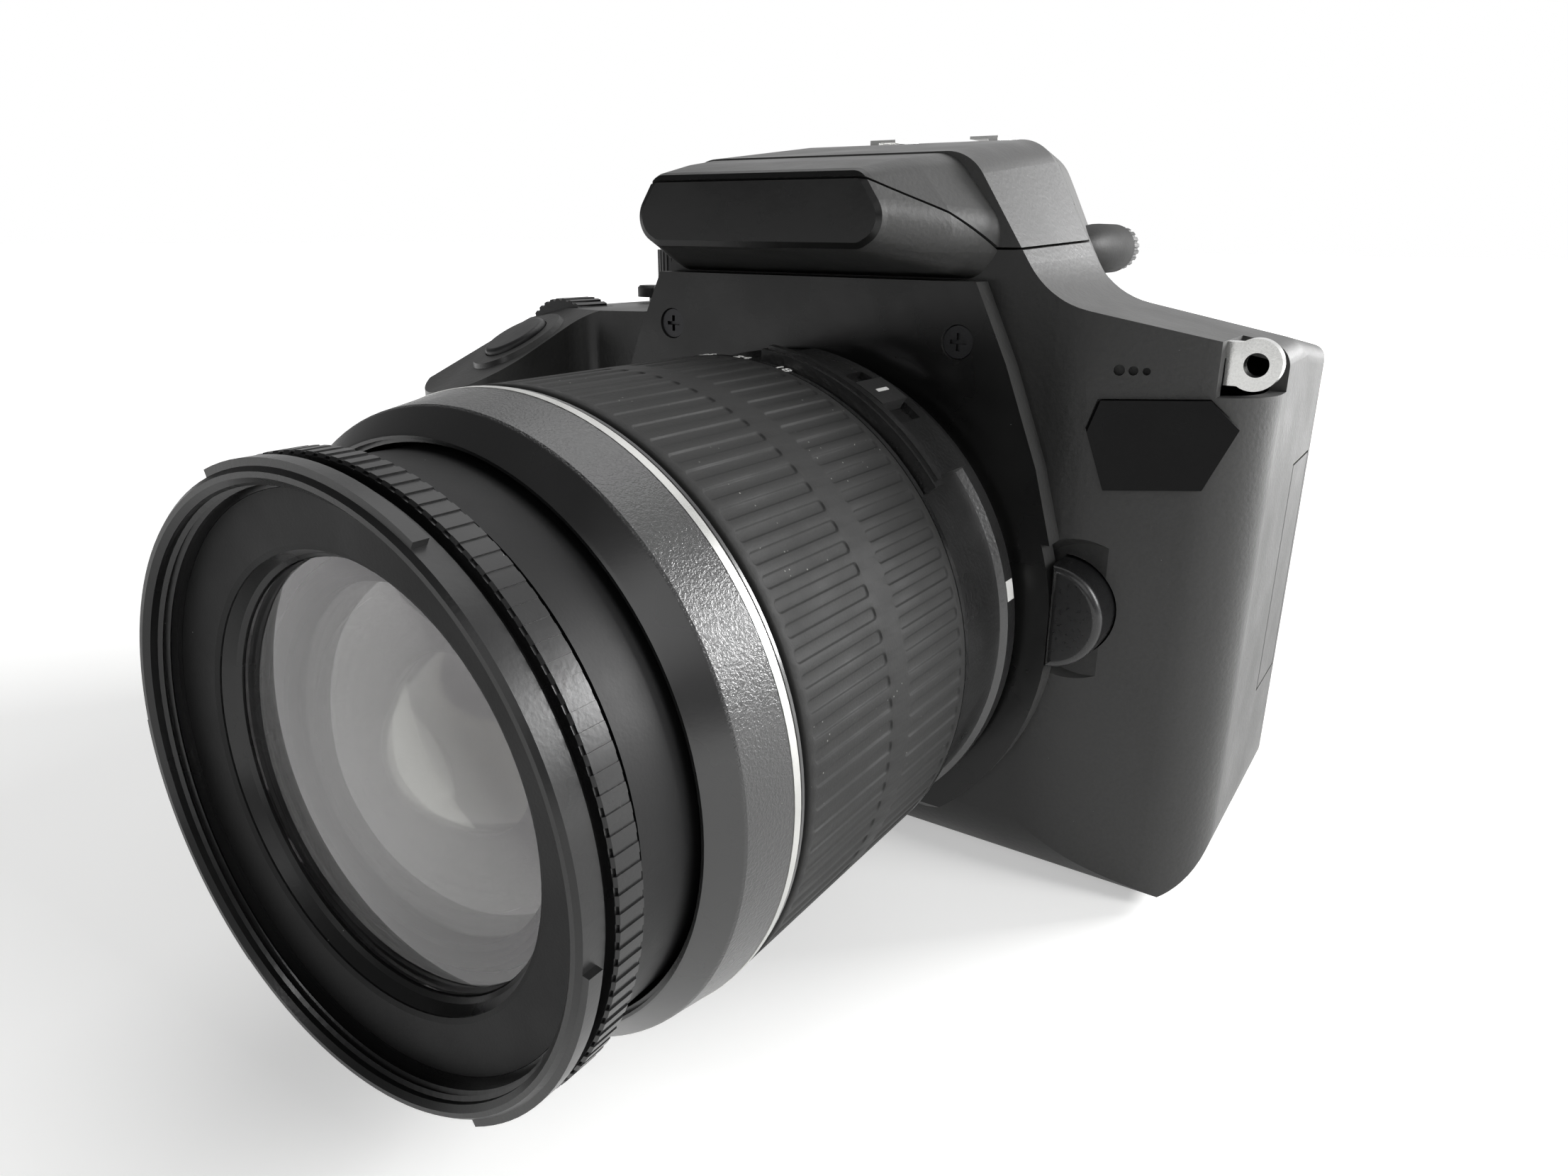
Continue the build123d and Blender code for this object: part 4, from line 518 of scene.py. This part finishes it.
def ribbed_grip(name, look, body):
    """Rubber sleeve of the zoom ring: two rows of shallow pockets with rounded corners."""
    outer, inner, bevel = 34.2 * MM, 33.1 * MM, 0.2 * MM
    rows = ((17.4 * MM, 30.3 * MM), (33.9 * MM, 48.6 * MM))
    ribs, half_width, corner, steps = 90, 0.74 * MM, 0.5 * MM, 4
    # land, rolled rim, wall and floor edge: (share of the pocket's width, depth)
    levels = ((1.0, 0.0), (0.94, 0.02 * MM), (0.84, 0.10 * MM), (0.74, 0.17 * MM), (0.62, 0.20 * MM))
    half_cell = math.pi * outer / ribs
    columns = (-half_cell, -half_width, corner - half_width, half_width - corner, half_width, half_cell)
    bm = bmesh.new()

    def vertex(turn, across, radius, s):
        return bm.verts.new(on_lens(radius, turn + math.degrees(across / outer), s))

    def strip(turn, s0, s1, r0, r1):
        for left, right in zip(columns, columns[1:]):
            bm.faces.new((vertex(turn, left, r0, s0), vertex(turn, left, r1, s1),
                          vertex(turn, right, r1, s1), vertex(turn, right, r0, s0)))

    def outlines(s0, s1):
        """Rounded rim of a pocket, and the border of its cell with a point for each of the rim's."""
        rim, border = [], []
        for sign_x, sign_s in ((1, 1), (-1, 1), (-1, -1), (1, -1)):
            end = s1 if sign_s > 0 else s0
            centre_x, centre_s = half_width - corner, end - sign_s * corner
            arc, edge = [], []
            for k in range(steps + 1):
                a = math.pi / 2 * k / steps
                arc.append((sign_x * (centre_x + corner * math.cos(a)),
                            centre_s + sign_s * corner * math.sin(a)))
                if k == steps:
                    edge.append((sign_x * centre_x, end))
                elif k >= steps / 2:
                    edge.append((sign_x * (half_cell if k == steps / 2 else half_width), end))
                else:
                    edge.append((sign_x * half_cell, centre_s + sign_s * corner * k / steps))
            order = -1 if sign_x * sign_s < 0 else 1
            rim += arc[::order]
            border += edge[::order]
        return rim, border

    def pocket(turn, s0, s1):
        """One cell of the pattern: the land round a pocket, its walls and its floor."""
        rim, border = outlines(s0, s1)
        middle, reach = (s0 + s1) / 2, (s1 - s0) / 2
        rings = [[vertex(turn, x, outer, s) for x, s in border]]
        for share, depth in levels:
            inset = half_width * (1 - share)
            rings.append([
                vertex(turn, math.copysign(max(0.0, abs(x) - inset), x), outer - depth,
                       middle + (s - middle) * (reach - inset) / reach) for x, s in rim])
        for first, second in zip(rings, rings[1:]):
            for k in range(len(first)):
                j = (k + 1) % len(first)
                bm.faces.new((first[k], first[j], second[j], second[k]))
        bm.faces.new(rings[-1])

    for n in range(ribs):
        turn = 360 * (n + 0.5) / ribs
        last = GRIP_START + bevel
        strip(turn, GRIP_START, GRIP_START, inner, outer - bevel)
        strip(turn, GRIP_START, last, outer - bevel, outer)
        for s0, s1 in rows:
            strip(turn, last, s0, outer, outer)
            pocket(turn, s0, s1)
            last = s1
        strip(turn, last, GRIP_END - bevel, outer, outer)
        strip(turn, GRIP_END - bevel, GRIP_END, outer, outer - bevel)
        strip(turn, GRIP_END, GRIP_END, outer - bevel, inner)
        strip(turn, GRIP_END, GRIP_START, inner, inner)
    bmesh.ops.remove_doubles(bm, verts=bm.verts, dist=0.002 * MM)
    bmesh.ops.recalc_face_normals(bm, faces=bm.faces)
    mesh = bpy.data.meshes.new(name)
    bm.to_mesh(mesh)
    bm.free()
    for face in mesh.polygons:
        face.use_smooth = True
    mesh.set_sharp_from_angle(angle=math.radians(50))
    made = piece(name, mesh, look, body)
    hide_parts("zoom_grip")
    return made


def turned(name, outline, look, body, turns=128):
    """Ring turned about the lens axis from a closed outline of (radius, s) in millimetres."""
    count = len(outline)
    points = [on_lens(r * MM, 360 * k / turns, s * MM) for k in range(turns) for r, s in outline]
    faces = []
    for k in range(turns):
        here, there = k * count, (k + 1) % turns * count
        for m in range(count):
            n = (m + 1) % count
            faces.append((here + m, here + n, there + n, there + m))
    return piece(name, mesh_from(name, points, faces, sharp_angle=30), look, body)


def revolved(name, at, start, profile, end, turns, look, body):
    """Closed body of rings (radius, place) between a start and an end on its axis."""
    points, faces = [at(0, 0, start)], []
    for r, place in profile:
        points += [at(r, 360 * k / turns, place) for k in range(turns)]
    points.append(at(0, 0, end))
    last = 1 + (len(profile) - 1) * turns
    for k in range(turns):
        j = (k + 1) % turns
        faces += [(0, 1 + k, 1 + j), (last + k, len(points) - 1, last + j)]
        for m in range(len(profile) - 1):
            a, b = 1 + m * turns, 1 + (m + 1) * turns
            faces.append((a + k, b + k, b + j, a + j))
    return piece(name, mesh_from(name, points, faces, sharp_angle=40), look, body)


def element(name, curve, aperture, vertex, thick, look, body):
    """Lens element on the axis: convex to the front with the given radius of curvature, hollow
    behind. Its front stands at s = vertex."""
    rings, turns, back_curve = 14, 96, curve * 1.6

    def sag(r, radius):
        return radius - math.sqrt(radius * radius - r * r)

    radii = [aperture * k / rings for k in range(1, rings + 1)]
    profile = [(r, vertex - sag(r, curve)) for r in radii]
    profile += [(r, vertex - thick - sag(r, back_curve)) for r in reversed(radii)]
    return revolved(name, on_lens, vertex, profile, vertex - thick, turns, look, body)


def knob_seat(name, node, radius, reach, nose, look, body):
    """Pod along Y that ends just under a round knob and runs out forwards in a rounded nose."""
    turns, steps = 48, 10
    knob_low, knob_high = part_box(node)
    x, z, end = (knob_low.x + knob_high.x) / 2, (knob_low.z + knob_high.z) / 2, knob_low.y - 0.05 * MM
    start = end - reach

    def at(r, angle, y):
        a = math.radians(angle)
        return Vector((x + r * math.cos(a), y, z + r * math.sin(a)))

    profile = [(radius * math.sin(a), start + nose * (1 - math.cos(a)))
               for a in (math.pi / 2 * k / steps for k in range(1, steps + 1))]
    # rounded rim under the knob
    profile += [(radius, end - 0.5 * MM), (radius - 0.15 * MM, end - 0.15 * MM), (radius - 0.5 * MM, end)]
    return revolved(name, at, start, profile, end, turns, look, body)


def key_mark(name, node, body, shapes):
    """White print on a key of the back: shapes are outlines of (right, up) points in millimetres,
    seen from behind."""
    key_low, key_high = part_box(node)
    centre = (key_low + key_high) / 2
    proud, sunk = 0.04 * MM, -0.2 * MM
    points, faces = [], []
    for shape in shapes:
        start, count = len(points), len(shape)
        for level in (proud, sunk):
            points += [Vector((centre.x - x * MM, key_high.y + level, centre.z + z * MM)) for x, z in shape]
        faces += [[start + k for k in range(count)], [start + count + k for k in reversed(range(count))]]
        faces += [(start + k, start + count + k, start + count + (k + 1) % count, start + (k + 1) % count)
                  for k in range(count)]
    return piece(name, mesh_from(name, points, faces), white_print, body)


def bar(x, z, width, height):
    return [(x - width / 2, z - height / 2), (x + width / 2, z - height / 2),
            (x + width / 2, z + height / 2), (x - width / 2, z + height / 2)]


def arrow(angle, reach, size):
    """Small triangle that points away from the centre of the pad."""
    out = Vector((math.cos(math.radians(angle)), math.sin(math.radians(angle))))
    side = Vector((-out.y, out.x))
    tip = out * (reach + size)
    return [tuple(tip), tuple(out * reach + side * size * 0.7), tuple(out * reach - side * size * 0.7)]


# ---------------------------------------------------------------- rubber, threads, marks and scale
ribbed_grip("zoom_rubber_sleeve", zoom_rubber, "zoom")
helix("filter_thread_ridge", on_lens, radius=29.0 * MM, start=72.6 * MM, pitch=0.75 * MM,
      turns=2.4, height=0.35 * MM, look=lens_satin, body="focus")
helix("tripod_thread_ridge", on_base, radius=3.175 * MM, start=0.9 * MM, pitch=1.27 * MM,
      turns=4.0, height=0.45 * MM, look=steel, body="body")
lens_patch("mount_index", radius=33.7 * MM, angle=11, s=1.5 * MM,
           width=2.6 * MM, length=1.9 * MM, look=white_print, body="body")
lens_patch("scale_index", radius=33.0 * MM, angle=90, s=13.0 * MM,
           width=0.5 * MM, length=2.4 * MM, look=white_print, body="body")
lens_patch("switch_index", radius=35.5 * MM, angle=60, s=8.4 * MM,
           width=0.5 * MM, length=2.6 * MM, look=white_print, body="focus_switch")

# focal scale: number and its angle on the zoom ring at rest
FOCAL_SCALE = (("18", 76), ("24", 86), ("35", 95), ("45", 104), ("55", 113))
for number, angle in FOCAL_SCALE:
    lens_number("focal_" + number, number, radius=34.2 * MM, angle=angle, s=15.7 * MM,
                height=1.5 * MM, body="zoom")

# ---------------------------------------------------------------- front of the lens
# raised floor of the focus ring's knurl, and the blackened cells that hold the glass:
# outlines of (radius, s) in millimetres
KNURL_FLOOR = ((31.05, 68.9), (31.05, 71.5), (30.6, 71.5), (30.6, 68.9))
FRONT_CELL = ((20.5, 64.6), (19.6, 65.6), (19.0, 65.6), (18.4, 64.8), (17.7, 64.8),
              (17.7, 62.0), (15.2, 62.0), (15.2, 61.0), (18.6, 61.0), (20.5, 62.4))
THIRD_CELL = ((15.2, 61.6), (8.5, 61.6), (8.5, 58.6), (15.2, 58.6))
turned("knurl_floor", KNURL_FLOOR, lens_satin, "focus", turns=240)

front_lens = element("front_lens", curve=98.4 * MM, aperture=21.5 * MM, vertex=71.8 * MM,
                     thick=3.0 * MM, look=front_glass, body="focus")
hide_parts("front_element")
turned("front_cell", FRONT_CELL, inner_black, "focus")
element("second_lens", curve=46 * MM, aperture=17.6 * MM, vertex=67.4 * MM,
        thick=2.0 * MM, look=second_glass, body="focus")
element("third_lens", curve=13 * MM, aperture=8.4 * MM, vertex=64.6 * MM,
        thick=2.0 * MM, look=third_glass, body="focus")
turned("third_cell", THIRD_CELL, inner_black, "focus")

# ---------------------------------------------------------------- body
# mode dial: plain numbers round its top
DIAL_POSITIONS = 10
NUMBER_CIRCLE, NUMBER_HEIGHT = 7.4 * MM, 1.7 * MM
dial_low, dial_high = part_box("mode_dial")
dial = Vector(((dial_low.x + dial_high.x) / 2, (dial_low.y + dial_high.y) / 2, dial_high.z))
for k in range(DIAL_POSITIONS):
    a = math.radians(90 + 360 / DIAL_POSITIONS * k)
    spoke = Vector((math.cos(a), math.sin(a), 0))
    flat_number(f"dial_number_{k}", str(k + 1), dial + spoke * NUMBER_CIRCLE, spoke, (0, 0, 1),
                NUMBER_HEIGHT, "program_dial")

# plain marks on the keys of the back: key name, body, shapes
EDGE = 2.4                            # how far the pad's arrows stay inside its rim, in mm
pad_low, pad_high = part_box("four_way_pad")
pad_reach = (pad_high.z - pad_low.z) / 2 / MM - EDGE
KEY_MARKS = (
    ("playback_mark", "playback_button", "playback_key", [[(-0.55, -0.7), (0.75, 0), (-0.55, 0.7)]]),
    ("menu_mark", "menu_button", "menu_key", [bar(0, 0.55 * k, 1.5, 0.22) for k in (-1, 0, 1)]),
    ("erase_mark", "erase_button", "erase_key", [bar(0, -0.15, 0.9, 1.0), bar(0, 0.6, 1.3, 0.2)]),
    ("exposure_mark", "exposure_button", "exposure_key",
     [bar(-0.45, 0.35, 0.9, 0.2), bar(-0.45, 0.62, 0.2, 0.35), bar(-0.45, 0.08, 0.2, 0.35),
      bar(0.6, -0.5, 0.9, 0.2)]),
    ("quick_menu_mark", "quick_menu_button", "quick_menu_key", [[(-0.7, 0), (0, -0.7), (0.7, 0), (0, 0.7)]]),
    ("af_point_mark", "af_point_button", "af_point_key", [bar(0.6 * k, 0, 0.35, 0.35) for k in (-1, 0, 1)]),
    ("ae_lock_mark", "ae_lock_button", "ae_lock_key",
     [bar(0, 0, 1.3, 0.22), bar(0, 0.4, 0.22, 0.6), bar(0, -0.4, 0.22, 0.6)]),
    ("pad_marks", "four_way_pad", "pad", [arrow(90 * k, pad_reach, 1.0) for k in range(4)]),
)
for name, node_name, body_name, shapes in KEY_MARKS:
    key_mark(name, node_name, body_name, shapes)

# hot shoe contacts: (x, y from the front of the shoe, radius) in millimetres
SHOE_CONTACTS = ((0, 9.0, 2.0), (-3.4, 4.4, 1.0), (3.4, 4.4, 1.0), (-3.4, 12.0, 1.0), (3.4, 12.0, 1.0))
CONTACT_BEVEL, CONTACT_DEPTH, CONTACT_LEVEL = 0.12, 0.24, 0.5
shoe_low, shoe_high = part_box("hot_shoe")
for k, (x, y, radius) in enumerate(SHOE_CONTACTS):
    contact = bpy.data.meshes.new(f"shoe_contact_{k}")
    bm = bmesh.new()
    bmesh.ops.create_cone(bm, cap_ends=True, segments=32, radius1=radius * MM,
                          radius2=(radius - CONTACT_BEVEL) * MM, depth=CONTACT_DEPTH * MM)
    bmesh.ops.translate(bm, verts=bm.verts,
                        vec=(x * MM, shoe_low.y + y * MM, shoe_low.z + CONTACT_LEVEL * MM))
    bm.to_mesh(contact)
    bm.free()
    piece(f"shoe_contact_{k}", contact, steel, "body")

# moulded seat that carries the dioptre knob on the flank of the hump
knob_seat("dioptre_seat", "dioptre_knob", radius=3.7 * MM, reach=20 * MM, nose=12 * MM,
          look=seat_black, body="body")

# ---------------------------------------------------------------- stage
# white paper that gets brighter away from the object, so that its shadow stays near it
PAPER_HALF = 6                        # metres
FLOOR_GLOW, BACKDROP_GLOW = 0.42, 1.0
GLOW_FROM, GLOW_TO = 0.22, 0.85       # distances from the part
floor_mesh = mesh_from("floor", [(-PAPER_HALF, -PAPER_HALF, 0), (PAPER_HALF, -PAPER_HALF, 0),
                                 (PAPER_HALF, PAPER_HALF, 0), (-PAPER_HALF, PAPER_HALF, 0)], [(0, 1, 2, 3)])
floor = bpy.data.objects.new("floor", floor_mesh)
bpy.context.scene.collection.objects.link(floor)
floor.location.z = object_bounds()[0].z
paper = Surface("paper", (0.86, 0.86, 0.85), 0.75, specular=0.2)
paper.shade(paper.noise(60 * MM, 2.0), 0.99, 1.01)
distance = paper.node("ShaderNodeVectorMath", operation="LENGTH")
paper.link(paper.coord, distance.inputs[0])
glow = paper.span(distance.outputs["Value"], GLOW_FROM, GLOW_TO, FLOOR_GLOW, BACKDROP_GLOW)
paper.bsdf.inputs["Emission Color"].default_value = (1, 1, 1, 1)
paper.link(paper.math("MULTIPLY", glow, paper.background_rays()[1]), paper.bsdf.inputs["Emission Strength"])
floor_mesh.materials.append(paper.mat)

# ---------------------------------------------------------------- light
BODY_CENTRE = (0, -0.03, 0.05)
LAMPS = (   # name, place, target, (width, height), watts
    ("window", (0.62, 0.78, 0.36), BODY_CENTRE, (0.34, 0.34), 13),
    ("side_window", (0.95, 0.10, 0.52), BODY_CENTRE, (0.45, 0.45), 6),
    ("ceiling", (-0.1, 0.25, 0.9), (0, 0, 0.04), (0.7, 0.7), 2),
    ("front_fill", (0.5, -0.9, 0.6), BODY_CENTRE, (0.7, 0.6), 1.6),
    ("catch_light", (-0.26, -1.02, 0.40), (0, -0.10, 0.05), (0.05, 0.05), 0.6),
)
for name, place, target, size, watts in LAMPS:
    light = bpy.data.lights.new(name, "AREA")
    light.shape = "RECTANGLE"
    light.size, light.size_y = size
    light.energy = watts
    lamp = bpy.data.objects.new(name, light)
    lamp.location = place
    lamp.rotation_euler = (Vector(target) - Vector(place)).to_track_quat("-Z", "Y").to_euler()
    bpy.context.scene.collection.objects.link(lamp)

# a white backdrop behind the object that falls off to a dim room in front of it
ROOM_LEVEL, DIFFUSE_LEVEL = 0.14, 0.34
BACKDROP_SIDE = (0.45, 0.89, 0.0)     # the direction in which the backdrop is brightest
world = bpy.data.worlds.new("studio")
bpy.context.scene.world = world
world.use_nodes = True
sky = Graph(world.node_tree)
background = sky.tree.nodes["Background"]
background.inputs["Color"].default_value = (1, 1, 1, 1)
facing = sky.node("ShaderNodeVectorMath", operation="DOT_PRODUCT")
facing.inputs[1].default_value = BACKDROP_SIDE
sky.link(sky.node("ShaderNodeTexCoord").outputs["Generated"], facing.inputs[0])
falloff = sky.span(facing.outputs["Value"], -0.35, 0.55, ROOM_LEVEL, 1.0)
seen_directly, seen_at_all = sky.background_rays()
dimmed = sky.math("MULTIPLY", sky.span(seen_at_all, 0, 1, DIFFUSE_LEVEL, 1.0), falloff)
sky.link(sky.math("MAXIMUM", dimmed, seen_directly), background.inputs["Strength"])
bpy.context.scene.view_settings.view_transform = "Standard"

# ---------------------------------------------------------------- viewpoint
CAMERA_PLACE = Vector((78.5, -153.2, 86.4)) * MM
AHEAD, RIGHT = Vector((-0.5229, 0.7906, -0.3186)), Vector((0.8324, 0.5542, 0.0089))
SENSOR_WIDTH, FOCAL_LENGTH = 36, 24.24955         # millimetres
camera_data = bpy.data.cameras.new("camera")
camera_data.sensor_width = SENSOR_WIDTH
camera_data.lens = FOCAL_LENGTH
camera_data.clip_start = 10 * MM
camera = bpy.data.objects.new("camera", camera_data)
bpy.context.scene.collection.objects.link(camera)
ahead, right = AHEAD.normalized(), RIGHT.normalized()
pose = Matrix((right, right.cross(ahead), -ahead)).transposed().to_4x4()
pose.translation = CAMERA_PLACE
camera.matrix_world = pose
bpy.context.scene.camera = camera
